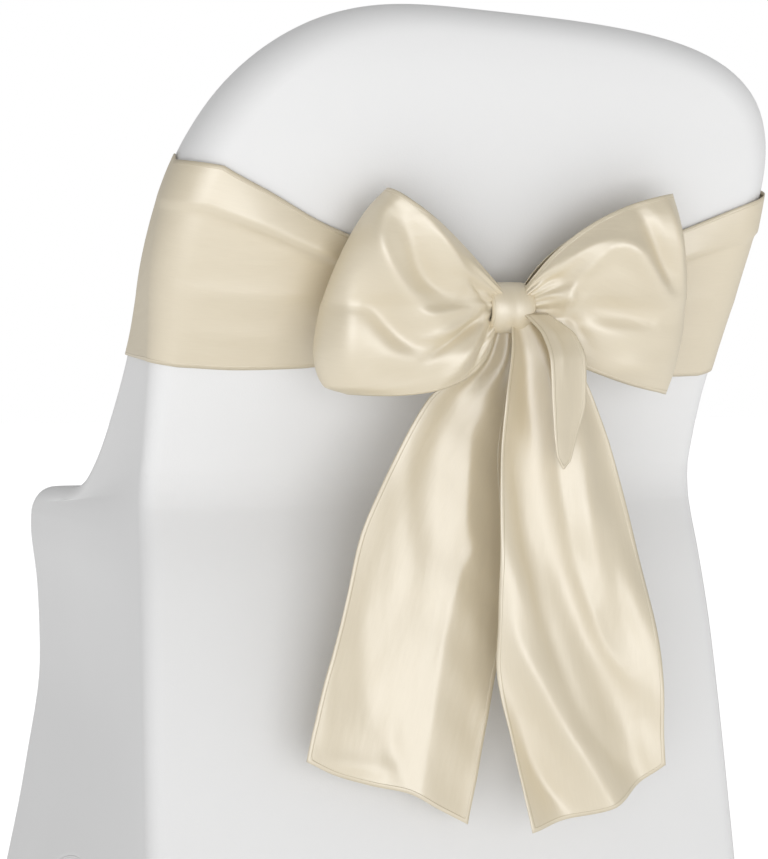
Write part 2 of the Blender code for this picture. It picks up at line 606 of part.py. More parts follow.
def make_sash(collection, joined):
    """The tied sash: its knot, to which the band, the loops and the tails are joined."""
    sheets = {
        "band": band_grid(*BAND_STEPS),
        "tail_left": tail_grid(TAIL_LEFT, HEM_LEFT, CREASES_TAIL_LEFT, TAIL_FOLDS, *TAIL_STEPS),
        "loop_left": loop_grid(LOOP_LEFT, CREASES_LEFT, HANG_LEFT, *LOOP_STEPS),
        "tail_right": tail_grid(TAIL_RIGHT, HEM_RIGHT, CREASES_TAIL_RIGHT, TAIL_FOLDS, *TAIL_STEPS),
        "loop_right": loop_grid(LOOP_RIGHT, CREASES_RIGHT, HANG_RIGHT, *LOOP_STEPS),
        "pleat": tail_grid(PLEAT, HEM_PLEAT, [], PLEAT_FOLDS, *PLEAT_STEPS),
    }
    mesh = bmesh.new()
    bmesh.ops.create_cone(
        mesh,
        cap_ends=True,
        segments=KNOT_SIDES,
        radius1=KNOT_HEIGHT / 2,
        radius2=KNOT_HEIGHT / 2,
        depth=KNOT_LENGTH,
    )
    bmesh.ops.scale(mesh, vec=(1, KNOT_DEPTH / KNOT_HEIGHT, 1), verts=mesh.verts)
    sash = new_object("sash", mesh, collection)
    sash.location = (KNOT_X, knot_y(), KNOT_Z)
    sash.rotation_euler = (0, math.pi / 2, 0)
    rounding = sash.modifiers.new("rounded ends", "BEVEL")
    rounding.width = KNOT_ROUND
    rounding.segments = KNOT_ROUND_STEPS
    rounding.limit_method = "ANGLE"
    rounding.angle_limit = math.radians(40)
    for name, grid in sheets.items():
        sheet = make_satin(name, grid, joined)
        sheet.hide_render = True
        sheet.display_type = "WIRE"
        join = sash.modifiers.new(name, "BOOLEAN")
        join.operation = "UNION"
        join.solver = "EXACT"
        join.object = sheet
    return sash


def make_pocket(name, corner_x, corner_y, collection):
    """A cup for one foot; its outer corner lies under a corner of the skirt."""
    mesh = bmesh.new()
    bmesh.ops.create_cube(mesh, size=1.0)
    bmesh.ops.scale(mesh, vec=(POCKET, POCKET, POCKET_HEIGHT), verts=mesh.verts)
    upright = [edge for edge in mesh.edges if abs(edge.verts[0].co.z - edge.verts[1].co.z) > POCKET_HEIGHT / 2]
    bmesh.ops.bevel(mesh, geom=upright, offset=POCKET_CORNER, segments=CORNER_STEPS, affect="EDGES", profile=0.5)
    top = [face for face in mesh.faces if face.normal.z > 0.9]
    bmesh.ops.delete(mesh, geom=top, context="FACES_ONLY")
    toe = [edge for edge in mesh.edges if max(vert.co.z for vert in edge.verts) < 0]
    bmesh.ops.bevel(mesh, geom=toe, offset=POCKET_TOE, segments=TOE_STEPS, affect="EDGES", profile=0.5)
    pocket = new_object(name, mesh, collection)
    inward_x = -math.copysign(POCKET / 2, corner_x)
    inward_y = math.copysign(POCKET / 2, -corner_y)
    pocket.location = (corner_x + inward_x, corner_y + inward_y, POCKET_HEIGHT / 2)
    wall = pocket.modifiers.new("cloth", "SOLIDIFY")
    wall.thickness = CLOTH
    wall.offset = -1
    return pocket


def make_pockets(collection):
    level = level_of(HEM_FOOT)
    pockets = []
    for side in ("rear", "front"):
        for hand, word in ((-1, "left"), (1, "right")):
            x = hand * column(side + "_w", level)
            y = column(side + "_y", level)
            pockets.append(make_pocket(f"foot_pocket_{side}_{word}", x, y, collection))
    return pockets


def make_material(name, colour, roughness, sheen):
    """A plain cloth finish."""
    material = bpy.data.materials.new(name)
    material.use_nodes = True
    shader = material.node_tree.nodes["Principled BSDF"]
    shader.inputs["Base Color"].default_value = (*colour, 1)
    shader.inputs["Roughness"].default_value = roughness
    shader.inputs["Metallic"].default_value = 0
    shader.inputs["Sheen Weight"].default_value = sheen
    return material


def hang_from_rail(items):
    """Parents everything to an empty that brings the underside of the crown to the origin."""
    rail = bpy.data.objects.new("rail", None)
    bpy.context.scene.collection.objects.link(rail)
    middle = (column("rear_y", 0) + column("front_y", 0)) / 2
    rail.location = (0, -middle, -(CROWN - CLOTH))
    for item in items:
        item.parent = rail
    return rail


for item in list(bpy.data.objects):
    bpy.data.objects.remove(item)
parts = bpy.data.collections.new("chair cover with sash")
joined = bpy.data.collections.new("joined pieces")
bpy.context.scene.collection.children.link(parts)
bpy.context.scene.collection.children.link(joined)
cover = make_cover(parts)
pockets = make_pockets(parts)
sash = make_sash(parts, joined)
cover.data.materials.append(make_material("stretch cloth", (0.82, 0.82, 0.83), 0.85, 0.2))
sash.data.materials.append(make_material("satin", (0.72, 0.64, 0.47), 0.38, 0.1))
for pocket in pockets:
    pocket.data.materials.append(make_material("pocket cloth", (0.80, 0.80, 0.81), 0.85, 0.2))
hang_from_rail([*parts.objects, *joined.objects])
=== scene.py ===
"""The looks of the chair cover with its sash, in real sizes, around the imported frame.

The cloth lies on the folds of the CAD solids, with finer creases on top. Heights are above the floor and
depths in front (+Y) or behind (-Y) of the waist of the rear panel. make_piece moves all of it into the
frame, whose origin lies under the top of the cover.
"""

import functools
import math
from collections import namedtuple

import bmesh
import bpy
import numpy as np
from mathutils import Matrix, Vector


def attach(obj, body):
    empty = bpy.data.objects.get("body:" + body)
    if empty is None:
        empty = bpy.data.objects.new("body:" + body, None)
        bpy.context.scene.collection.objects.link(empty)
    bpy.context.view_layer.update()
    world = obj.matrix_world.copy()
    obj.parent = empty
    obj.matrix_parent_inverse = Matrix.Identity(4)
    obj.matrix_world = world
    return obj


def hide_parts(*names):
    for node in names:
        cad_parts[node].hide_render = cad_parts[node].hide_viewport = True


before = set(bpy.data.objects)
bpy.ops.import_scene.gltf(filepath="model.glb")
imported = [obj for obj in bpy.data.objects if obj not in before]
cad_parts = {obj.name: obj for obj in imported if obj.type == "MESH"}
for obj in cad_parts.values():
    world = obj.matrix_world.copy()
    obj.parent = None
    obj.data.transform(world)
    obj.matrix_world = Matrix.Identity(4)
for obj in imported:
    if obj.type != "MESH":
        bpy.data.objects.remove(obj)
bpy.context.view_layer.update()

# ---- sizes of the cover, as in its CAD ----
SPRING = 0.600  # height where the straight sides turn into the arched top
CROWN = 0.791  # height of the arched top
ARCH_LEFT = 2.05  # how square the arched top is at its left and its right: 2 is round
ARCH_RIGHT = 4.1
ARCH_FALL = 0.05  # share of its height that the arched top is lower at its right and higher at its left
WEB = 0.500  # the front edges are rounded square to the front path below this height, and level above SPRING
SKIRT = 0.365  # height below which the front panel is the skirt's and its edges are rounded level
HEM_APEX = 0.165  # height of the hem in the middle of its arches
HEM_FOOT = 0.0453  # height of the hem at the feet
HEM_SPREAD = 0.78  # share of the panel that an arch spans
HEM_CROWN = 2.2  # exponents of the arch: its crown's and its ends'
HEM_SPRING = 0.8
HEM_ZONE = 0.300  # height below which the rows draw together towards the hem
PATH_STEP = 0.05  # step, in levels, for the direction of the front path
RAIL_Y = -0.0905  # where the origin of the frame lies
RAIL_Z = 0.789

# A row is a level of the cover: the height, depth and half width of its rear and front panels, the radius of
# the edges between them and the sides, and how far the sides are drawn in.
Section = namedtuple("Section", "rear_z rear_y rear_w front_z front_y front_w corner waist")
SECTIONS = [
    Section(0.800, -0.118, 0.2330, 0.800, -0.063, 0.2330, 0.0260, 0.000),
    Section(0.760, -0.120, 0.2330, 0.760, -0.060, 0.2330, 0.0280, 0.000),
    Section(0.700, -0.110, 0.2265, 0.700, -0.045, 0.2265, 0.0290, 0.000),
    Section(0.650, -0.092, 0.2195, 0.650, -0.024, 0.2195, 0.0270, 0.000),
    Section(0.600, -0.067, 0.2150, 0.600, 0.008, 0.2150, 0.0220, 0.000),
    Section(0.565, -0.045, 0.2120, 0.565, 0.045, 0.2130, 0.0170, 0.000),
    Section(0.525, -0.021, 0.2105, 0.522, 0.102, 0.2110, 0.0130, 0.001),
    Section(0.495, -0.008, 0.2100, 0.488, 0.158, 0.2095, 0.0110, 0.002),
    Section(0.478, -0.002, 0.2105, 0.467, 0.205, 0.2100, 0.0110, 0.003),
    Section(0.467, -0.001, 0.2110, 0.458, 0.250, 0.2110, 0.0110, 0.003),
    Section(0.457, -0.002, 0.2115, 0.455, 0.315, 0.2130, 0.0120, 0.003),
    Section(0.447, -0.005, 0.2120, 0.451, 0.364, 0.2150, 0.0130, 0.003),
    Section(0.436, -0.009, 0.2125, 0.438, 0.389, 0.2160, 0.0140, 0.003),
    Section(0.415, -0.016, 0.2135, 0.412, 0.396, 0.2155, 0.0140, 0.004),
    Section(0.365, -0.028, 0.2155, 0.365, 0.393, 0.2105, 0.0120, 0.009),
    Section(0.300, -0.040, 0.2175, 0.300, 0.397, 0.2080, 0.0110, 0.012),
    Section(0.210, -0.056, 0.2200, 0.210, 0.415, 0.2180, 0.0120, 0.010),
    Section(0.110, -0.076, 0.2225, 0.110, 0.447, 0.2320, 0.0160, 0.005),
    Section(0.000, -0.100, 0.2250, 0.000, 0.485, 0.2460, 0.0200, 0.000),
]
SPRING_LEVEL = 4  # the row of SECTIONS at the height SPRING
ACROSS = 64  # faces across a panel
ARCH_ROWS = 26  # rows of faces up the arched top
LEVEL_STEPS = 5  # rows of the fine mesh for each row of SECTIONS
EDGE_STEPS = 8  # faces round an edge
SIDE_STEPS = 30  # faces across a side
WELD = 0.00002  # points of neighbouring grids closer than this are one
STRETCH_CLOTH = 0.0009  # thickness of the cloth that shows

# ---- sizes of the sash ----
BAND_GAP = 0.0018  # gaps from the band to the cover: behind, and round the edges, sides and front
EDGE_GAP = 0.0020
EDGE_PULL = 4  # how late the rear of the band shifts over to the edge's gap and place, as a power of its run
KNOT_X = 0.018
KNOT_Z = 0.592
KNOT_OUT = 0.035  # how far the middle of the knot stands off the rear panel
KNOT_LENGTH = 0.034
KNOT_HEIGHT = 0.034
KNOT_DEPTH = 0.032
KNOT_NARROWING = 0.45  # how strongly the knot is drawn in at its ends
KNOT_CREASE = 0.008  # depths of the knot's folds, as shares of its radius
KNOT_FINE_CREASE = 0.004
KNOT_SKEW = 0.10  # share by which the knot's length varies round its wrap
# A row is a place along the band, from the knot outwards: the heights of its lower and upper edges, how far
# it stands off the panel there and the height of the flat fold along its upper edge.
BandEdge = namedtuple("BandEdge", "x low high out fold")
BAND_LEFT = [
    BandEdge(0.010, 0.582, 0.602, 0.0240, 0.000),
    BandEdge(-0.020, 0.572, 0.612, 0.0100, 0.000),
    BandEdge(-0.050, 0.563, 0.624, 0.0020, 0.002),
    BandEdge(-0.085, 0.554, 0.637, 0.0005, 0.006),
    BandEdge(-0.112, 0.551, 0.647, 0.0000, 0.010),
    BandEdge(-0.150, 0.550, 0.665, 0.0000, 0.009),
    BandEdge(-0.188, 0.552, 0.680, 0.0000, 0.003),
]
BAND_RIGHT = [
    BandEdge(0.026, 0.582, 0.602, 0.0240, 0.000),
    BandEdge(0.056, 0.572, 0.612, 0.0100, 0.000),
    BandEdge(0.086, 0.560, 0.624, 0.0020, 0.001),
    BandEdge(0.115, 0.551, 0.633, 0.0005, 0.003),
    BandEdge(0.138, 0.547, 0.642, 0.0000, 0.008),
    BandEdge(0.160, 0.545, 0.651, 0.0000, 0.008),
    BandEdge(0.195, 0.546, 0.666, 0.0000, 0.003),
]
BAND_FRONT = (0.565, 0.692)  # lower and upper edge at the front
FOLD_PEAK = 0.20  # shares of the band's width from its upper edge to the fold's peak, and over its drop
FOLD_DROP = 0.04
# A row is a line along a loop, from its lower edge (across -1) to its upper one (1): a control point on its
# way, its turn at the far end, both from the knot, and how far the loop is puffed out there.
LoopLine = namedtuple("LoopLine", "across aside_x aside_z turn_x turn_z puff")
LOOP_LEFT = [
    LoopLine(-1.00, -0.016, -0.066, -0.110, -0.058, 0.011),
    LoopLine(-0.80, -0.028, -0.058, -0.127, -0.052, 0.017),
    LoopLine(-0.40, -0.048, -0.035, -0.1345, -0.028, 0.024),
    LoopLine(0.00, -0.060, 0.000, -0.129, 0.009, 0.026),
    LoopLine(0.40, -0.062, 0.028, -0.121, 0.038, 0.025),
    LoopLine(0.75, -0.062, 0.047, -0.110, 0.061, 0.019),
    LoopLine(1.00, -0.062, 0.052, -0.098, 0.075, 0.012),
]
LOOP_RIGHT = [
    LoopLine(-1.00, 0.053, -0.049, 0.131, -0.059, 0.011),
    LoopLine(-0.80, 0.058, -0.036, 0.1335, -0.045, 0.017),
    LoopLine(-0.40, 0.063, -0.012, 0.135, -0.016, 0.024),
    LoopLine(0.00, 0.062, 0.014, 0.131, 0.012, 0.026),
    LoopLine(0.40, 0.056, 0.038, 0.122, 0.040, 0.025),
    LoopLine(0.75, 0.044, 0.057, 0.1135, 0.062, 0.018),
    LoopLine(1.00, 0.030, 0.064, 0.1065, 0.077, 0.008),
]
LOOP_START = 0.0085  # where a loop leaves the knot, beside its middle
LOOP_ROOT = 0.013  # half the height of a loop in the knot
LOOP_PART = 0.0045  # half the gap between the front and the back of a loop in the knot
LOOP_SET = 0.004  # how much nearer the panel a loop is at its turn than in the knot
PUFF_FRONT = 1.4  # how strongly the front and the back of a loop are puffed out
PUFF_BACK = 0.9
LOOP_TUCK = 0.32  # how strongly the back of a loop is drawn together behind its front
HANG_LEFT = 0.8  # share of the panel's lean that a loop, hanging down, doesn't follow below the knot
HANG_RIGHT = 0.5
LOOP_PLEATS = 3  # waves of the pleats across a loop at the knot, and how high they are
LOOP_PLEAT = 0.0022
GATHERS = 9  # waves of the finer gathers, and how high they are
GATHER = 0.0009
FRONT_FADE = 0.7  # the creases of the front fade out over this much of theta before the turn
# A row is a height of a tail: its left and right edges, its depth, and the height and the phase of its folds.
TailRow = namedtuple("TailRow", "z left right y fold turn")
TAIL_FOLDS = 3  # half waves of the folds across a tail and across the short fold
PLEAT_FOLDS = 1
TAIL_LEFT = [
    TailRow(0.588, 0.010, 0.026, -0.0930, 0.0010, 0.8),
    TailRow(0.560, 0.000, 0.028, -0.0880, 0.0030, 0.8),
    TailRow(0.530, -0.036, 0.024, -0.0860, 0.0018, 0.8),
    TailRow(0.491, -0.059, 0.020, -0.0850, 0.0018, 0.9),
    TailRow(0.439, -0.083, 0.023, -0.0840, 0.0018, 1.0),
    TailRow(0.387, -0.095, 0.024, -0.0830, 0.0018, 1.1),
    TailRow(0.335, -0.110, 0.016, -0.0820, 0.0024, 1.1),
    TailRow(0.238, -0.132, -0.002, -0.0810, 0.0045, 1.0),
]
TAIL_RIGHT = [
    TailRow(0.588, 0.018, 0.034, -0.1035, 0.0010, 1.3),
    TailRow(0.560, 0.014, 0.060, -0.1110, 0.0030, 1.2),
    TailRow(0.530, 0.008, 0.077, -0.1140, 0.0050, 1.1),
    TailRow(0.461, 0.004, 0.101, -0.1140, 0.0055, 1.0),
    TailRow(0.359, 0.006, 0.124, -0.1120, 0.0060, 0.2),
    TailRow(0.300, 0.018, 0.130, -0.1090, 0.0065, -0.4),
    TailRow(0.236, 0.031, 0.139, -0.1060, 0.0070, -0.9),
]
PLEAT = [
    TailRow(0.588, 0.024, 0.042, -0.1100, 0.0006, 1.0),
    TailRow(0.573, 0.031, 0.058, -0.1240, 0.0020, 1.0),
    TailRow(0.556, 0.033, 0.063, -0.1300, 0.0040, 1.0),
    TailRow(0.530, 0.034, 0.063, -0.1310, 0.0045, 1.0),
    TailRow(0.506, 0.036, 0.056, -0.1305, 0.0035, 1.0),
    TailRow(0.484, 0.041, 0.049, -0.1290, 0.0008, 1.0),
]
# Heights of the hems at even places from the left edge to the right one.
HEM_LEFT = (0.291, 0.279, 0.271, 0.265, 0.252, 0.239)
HEM_RIGHT = (0.238, 0.241, 0.245, 0.252, 0.263, 0.277)
HEM_PLEAT = (0.492, 0.484, 0.489)
RIPPLE_LONG = 0.0006  # heights of the satin's unevenness between its creases
RIPPLE_SHORT = 0.0003
SATIN = 0.0006  # thickness of the satin that shows

# ---- the creases of the satin, in millimetres ----
# A crease runs smoothly through four places (x, z). rise is how far it stands out at its middle (a trough is
# below zero), width is how far it reaches to the left of its run, right is that to its right as a multiple of
# width, and crisp is the exponent of its profile: 2 is a soft swell and 1.2 a sharp fold.
Crease = namedtuple("Crease", "rise width right crisp x0 z0 x1 z1 x2 z2 x3 z3")
CREASES_LEFT = [
    Crease(8.0, 8, 1.0, 1.7, -86, 654, -90, 632, -74, 606, -45, 584),
    Crease(4.0, 5, 1.0, 1.6, -51, 585, -39, 588, -26, 590, -8, 592),
    Crease(4.5, 6, 1.0, 1.6, -74, 660, -52, 643, -36, 624, -10, 600),
    Crease(-8.5, 9, 0.9, 1.8, -72, 644, -62, 624, -50, 608, -28, 598),
    Crease(-8.0, 9, 1.0, 1.9, -92, 596, -76, 582, -62, 570, -43, 567),
    Crease(4.5, 10, 1.0, 2.0, -106, 604, -105, 586, -103, 566, -96, 546),
    Crease(4.5, 4, 0.8, 1.4, -52, 571, -37, 574, -22, 581, -6, 591),
    Crease(-6.0, 4, 1.0, 1.4, -46, 558, -30, 569, -16, 579, -3, 589),
    Crease(6.0, 7, 0.8, 1.5, -33, 540, -22, 553, -12, 568, 1, 586),
    Crease(-4.5, 3, 1.0, 1.5, -12, 549, -6, 560, -1, 572, 6, 584),
    Crease(-4.0, 3, 1.0, 1.4, -24, 611, -15, 605, -7, 598, 2, 589),
    Crease(-3.5, 9, 1.0, 2.0, -83, 552, -72, 546, -58, 545, -44, 548),
]
CREASES_RIGHT = [
    Crease(4.0, 5, 1.0, 1.6, 30, 610, 46, 622, 60, 632, 76, 637),
    Crease(6.0, 6, 1.0, 1.5, 55, 586, 53, 600, 58, 614, 70, 628),
    Crease(8.0, 8, 1.0, 1.7, 68, 628, 88, 630, 106, 614, 135, 595),
    Crease(4.0, 6, 1.0, 1.8, 112, 668, 122, 650, 130, 625, 142, 600),
    Crease(-7.0, 7, 1.0, 1.8, 94, 656, 104, 640, 114, 624, 124, 608),
    Crease(-9.0, 11, 1.0, 2.0, 66, 598, 82, 592, 102, 588, 125, 586),
    Crease(6.0, 10, 1.0, 1.8, 83, 546, 101, 550, 121, 552, 142, 556),
    Crease(-3.5, 4, 1.0, 1.5, 30, 606, 38, 610, 46, 611, 54, 610),
    Crease(-3.5, 5, 1.0, 1.6, 48, 590, 57, 586, 66, 577, 77, 564),
    Crease(2.5, 4, 1.0, 1.6, 32, 600, 42, 600, 52, 598, 62, 592),
]
CREASES_TAIL_LEFT = [
    Crease(1.5, 9, 1.0, 1.9, -39, 520, -49, 482, -47, 434, -50, 392),
    Crease(2.8, 12, 0.5, 1.5, -1, 428, -17, 396, -28, 340, -40, 262),
    Crease(1.2, 6, 1.0, 1.8, -3, 514, -6, 482, -6, 450, 0, 420),
    Crease(-1.4, 10, 1.0, 1.9, -25, 520, -28, 470, -29, 430, -37, 390),
    Crease(-1.4, 10, 1.0, 1.9, -75, 420, -79, 380, -77, 340, -69, 300),
    Crease(2.4, 8, 1.0, 1.8, -111, 290, -95, 287, -79, 284, -57, 280),
    Crease(-2.4, 8, 1.0, 1.8, -55, 320, -59, 300, -53, 280, -49, 262),
    Crease(1.0, 6, 1.0, 1.8, -95, 400, -99, 370, -105, 340, -107, 310),
]
CREASES_TAIL_RIGHT = [
    Crease(5.5, 12, 0.5, 1.3, 37, 556, 42, 520, 50, 462, 72, 388),
    Crease(4.5, 8, 0.6, 1.5, 64, 410, 76, 380, 86, 360, 102, 340),
    Crease(-6.0, 10, 1.0, 1.8, 15, 510, 24, 445, 50, 352, 98, 280),
    Crease(5.0, 8, 1.0, 1.6, 14, 380, 30, 344, 56, 302, 92, 250),
    Crease(3.0, 9, 1.0, 1.9, 66, 510, 66, 480, 68, 450, 74, 415),
    Crease(-3.5, 9, 1.0, 1.9, 84, 430, 92, 400, 100, 376, 114, 344),
    Crease(-3.5, 7, 1.0, 1.8, 24, 312, 34, 286, 46, 266, 60, 252),
    Crease(3.5, 9, 1.0, 1.8, 112, 310, 120, 290, 126, 272, 130, 252),
]
CREASES_PLEAT = [
    Crease(1.8, 3, 1.0, 1.6, 33, 584, 40, 574, 43, 562, 43, 546),
]
CREASES_BAND = [
    Crease(1.6, 8, 1.0, 2.0, -190, 600, -165, 598, -130, 594, -96, 592),
    Crease(1.2, 7, 1.0, 2.0, -196, 580, -170, 574, -140, 571, -110, 570),
    Crease(1.4, 7, 1.0, 2.0, 110, 590, 140, 594, 170, 598, 200, 600),
    Crease(1.2, 6, 1.0, 2.0, 130, 566, 150, 568, 172, 572, 196, 575),
]
CREASE_POINTS = 40  # places along a crease where its line is worked out
CREASE_START = 0.12  # where a crease starts on the half wave that its rise follows, as a share of it
CREASE_END = 1.5  # how far a crease reaches past its ends, as a multiple of its width
OUTLINE_STEPS = 40  # places where the outline of the back is worked out
BAND_STEPS = (70, 12, 70, 44)  # faces behind, round an edge, along the front and across
LOOP_STEPS = (150, 84)  # faces round a loop and across it
TAIL_STEPS = (120, 64)  # faces down a tail and across it
PLEAT_STEPS = (50, 24)
KNOT_STEPS = (72, 40)  # faces round the knot and along it

# ---- the foot pockets, the hems and the folds above the feet ----
FEET = {  # the middles of the pockets, as x and y
    "rear_left": (-0.2010, -0.0669),
    "rear_right": (0.2010, -0.0669),
    "front_left": (-0.2172, 0.4460),
    "front_right": (0.2172, 0.4460),
}
POCKET = 0.046  # width of a pocket, each way
POCKET_HEIGHT = 0.045
POCKET_CORNER = 0.016  # radius of its upright edges
POCKET_TOE = 0.003  # radius of the edge round its base
POCKET_INSET = 0.0005  # how far its wall stands in from its full width
POCKET_PUCKER = 0.0002  # heights of its puckers at the mouth and of its soft folds
POCKET_FOLD = 0.00025
POCKET_HOLE = 0.02  # size of the innermost row of the base, as a share of it
POCKET_STEPS = 10  # faces round a corner
BASE_ROWS = 8  # rows of points in the base, round its edge and up the wall, each with its first row
TOE_ROWS = 6
WALL_ROWS = 20
POCKET_HEM = 0.008  # widths of the turned hems
COVER_HEM = 0.007
TENSION = 0.0007  # height of the soft folds that fan out from a foot
TENSION_REACH = 0.11  # how far from the foot they are highest, and how far they spread about it
TENSION_SPREAD = 0.07
TENSION_FOLDS = 15  # how many times as fast as the fan's angle the wave of the folds turns

# ---- the knit ----
KNIT_ROUGHNESS = 0.72
KNIT_SHEEN = 0.25
KNIT_SHEEN_ROUGHNESS = 0.5
KNIT_DARK, KNIT_LIGHT = (0.74, 0.74, 0.74), (0.77, 0.77, 0.77)
POCKET_DARK, POCKET_LIGHT = (0.72, 0.72, 0.72), (0.75, 0.75, 0.75)
KNIT_DRIFT = 7.0  # scale and detail of the slow change between the two tones
KNIT_DRIFT_DETAIL = 3.0
KNIT_GRAIN = 900.0  # scale, detail and height of the grain of the knit
KNIT_GRAIN_DETAIL = 2.0
KNIT_GRAIN_HEIGHT = 0.00006
STITCH = 0.003  # length of a stitch with its gap, and the share of it that is thread
STITCH_SHARE = 0.7
STITCH_INSET = 0.0015  # how far inside the turned hem's width the row of stitches lies, and half its width
STITCH_HALF = 0.0004
STITCH_COLOR = (0.45, 0.45, 0.46, 1)
STITCH_TINT = 0.2  # how much the stitches show in the colour and sink into the hem
STITCH_SINK = 0.4
HEM_STEP = 0.0006  # how far past the hem's width the doubled cloth ends
HEM_SLOPE = 1200  # how steeply it ends there, per metre
HEM_BLEND = 0.3  # how softly the slope runs into the doubled cloth
HEM_HEIGHT = 0.0005  # how high the doubled cloth stands out

# ---- the satin ----
SATIN_ROUGHNESS = 0.46
SATIN_IOR = 2.7
SATIN_DARK, SATIN_LIGHT = (0.60, 0.515, 0.36), (0.65, 0.565, 0.40)
THREAD_SCALE = (60, 1600, 1)  # scale of the threads along and across the sash, their detail and height
THREAD_DETAIL = 3.0
THREAD_HEIGHT = 0.00003
CRUMPLE_SCALE = (22, 70, 1)  # the same for the small crumples
CRUMPLE_DETAIL = 2.0
CRUMPLE_HEIGHT = 0.0006
SEAM_INSET = 0.0026  # how far from the edge the seam of the rolled hem lies, and half its width
SEAM_HALF = 0.0003
SEAM_COLOR = (0.50, 0.40, 0.22, 1)
SEAM_TINT = 0.3  # how much it shows in the colour
ROLL_WIDTH = 0.0030  # the rolled hem: its width, how steeply it ends, per metre, and its height
ROLL_SLOPE = 2500
ROLL_HEIGHT = 0.0003

# ---- the studio ----
GROUND = 0.92  # strength of the light from below the horizon and from above it
SKY = 0.44
HORIZON = 0.4  # how far below and above the horizon the one turns into the other (1 is straight down or up)
AIM = (0, 0, -0.30)  # the place that the lights point at
Light = namedtuple("Light", "name place size power")
LIGHTS = [
    Light("key", (0.10, -2.60, -0.60), 1.8, 20),
    Light("fill", (-1.20, -2.35, -0.60), 1.8, 13),
    Light("top", (0.2, 0.4, 2.0), 2.0, 2),
]
WHITE = (1, 1, 1, 1)
FLOOR_SIZE = 20
FLOOR_COLOR = (0.9, 0.9, 0.9, 1)
FLOOR_ROUGHNESS = 0.9
FLOOR_GLOW = 0.75
CAMERA_PLACE = (-0.548, -1.319, -0.239)
CAMERA_AZIMUTH = 20  # degrees that it stands to the left of straight behind, and that it looks below level
CAMERA_FALL = 1.61
CAMERA_LENS = 88.6  # millimetres, as the sensor
CAMERA_SENSOR = 36


def smooth(places, values, at):
    """A curve through the given values that never swings past them (a monotone cubic)."""
    places, values = np.asarray(places, float), np.asarray(values, float)
    step = np.diff(places)
    slope = np.diff(values) / step
    tangent = np.empty_like(values)
    tangent[0], tangent[-1] = slope[0], slope[-1]
    same_way = slope[1:] * slope[:-1] > 0
    safe_sum = np.where(same_way, slope[1:] + slope[:-1], 1.0)
    tangent[1:-1] = np.where(same_way, 2 * slope[1:] * slope[:-1] / safe_sum, 0.0)
    at = np.clip(at, places[0], places[-1])
    k = np.clip(np.searchsorted(places, at) - 1, 0, len(step) - 1)
    f = (at - places[k]) / step[k]
    rise = tangent[k] * step[k] * (f**3 - 2 * f**2 + f) + tangent[k + 1] * step[k] * (f**3 - f**2)
    return values[k] * (2 * f**3 - 3 * f**2 + 1) + values[k + 1] * (3 * f**2 - 2 * f**3) + rise


def table(rows):
    """The columns of a table of named rows."""
    return {name: np.array([getattr(row, name) for row in rows]) for name in rows[0]._fields}


LEVELS = np.arange(len(SECTIONS), dtype=float)
COLUMNS = table(SECTIONS)


@functools.lru_cache(maxsize=None)
def column(name, level):
    """A column of SECTIONS at a level, which needn't be a whole number."""
    return float(smooth(LEVELS, COLUMNS[name], level))


def level_of(height):
    """The level at which the rear panel has a height."""
    return np.interp(-height, -COLUMNS["rear_z"], LEVELS)


def rear_y(height):
    """How far the rear panel lies in front of the waist at a height."""
    return smooth(LEVELS, COLUMNS["rear_y"], level_of(height))


# ---- the cover ----
def path(side, level):
    """A point of the rear or front path as (y, z), with the direction from it into the chair."""
    point = np.array([column(side + "_y", level), column(side + "_z", level)])
    if side == "rear":
        return point, np.array([1.0, 0.0])
    if point[1] < SKIRT:
        return point, np.array([-1.0, 0.0])
    ahead = np.array([column(side + "_y", level + PATH_STEP), column(side + "_z", level + PATH_STEP)])
    back = np.array([column(side + "_y", level - PATH_STEP), column(side + "_z", level - PATH_STEP)])
    run = (ahead - back) / np.linalg.norm(ahead - back)
    upright = min(max((point[1] - WEB) / (SPRING - WEB), 0.0), 1.0)
    inward = np.array([run[1] * (1 - upright) - upright, -run[0] * (1 - upright)])
    return point, inward / np.linalg.norm(inward)


def hem_height(across):
    """The height of the arched hem at a place across a panel or a side, from -1 to 1."""
    reach = min(abs(across) / HEM_SPREAD, 1.0)
    return HEM_FOOT + (HEM_APEX - HEM_FOOT) * (1 - reach**HEM_CROWN) ** HEM_SPRING


def hem_level(level, across):
    """Moves a level up so that the last row lies on the arched hem."""
    height = column("rear_z", level)
    if height >= HEM_ZONE:
        return level
    share = (HEM_ZONE - hem_height(across)) / HEM_ZONE
    return level_of(HEM_ZONE - (HEM_ZONE - height) * share)


def panel_point(side, u, level):
    """A point of the rear or front panel below the springing, at u from -1 to 1 across it."""
    level = hem_level(level, u)
    (y, z), _ = path(side, level)
    x = u * (column(side + "_w", level) - column("corner", level))
    return np.array([x, y, z])


def edge_point(side, hand, level, turn):
    """A point of the rounded edge between a panel and a side: turn is 0 on the panel and 1 on the side."""
    level = hem_level(level, 1.0)
    (y, z), inward = path(side, level)
    radius = column("corner", level)
    x = column(side + "_w", level) - radius * (1 - math.sin(turn * math.pi / 2))
    depth = radius * (1 - math.cos(turn * math.pi / 2))
    return np.array([hand * x, y + depth * inward[0], z + depth * inward[1]])


def side_point(hand, level, f):
    """A point of the side, f of the way from its rear edge to its front edge."""
    level = hem_level(level, 2 * f - 1)
    ends = []
    for side in ("rear", "front"):
        (y, z), inward = path(side, level)
        radius = column("corner", level)
        ends.append(np.array([column(side + "_w", level), y + radius * inward[0], z + radius * inward[1]]))
    point = ends[0] * (1 - f) + ends[1] * f
    point[0] -= column("waist", level) * 4 * f * (1 - f)
    point[0] *= hand
    return point


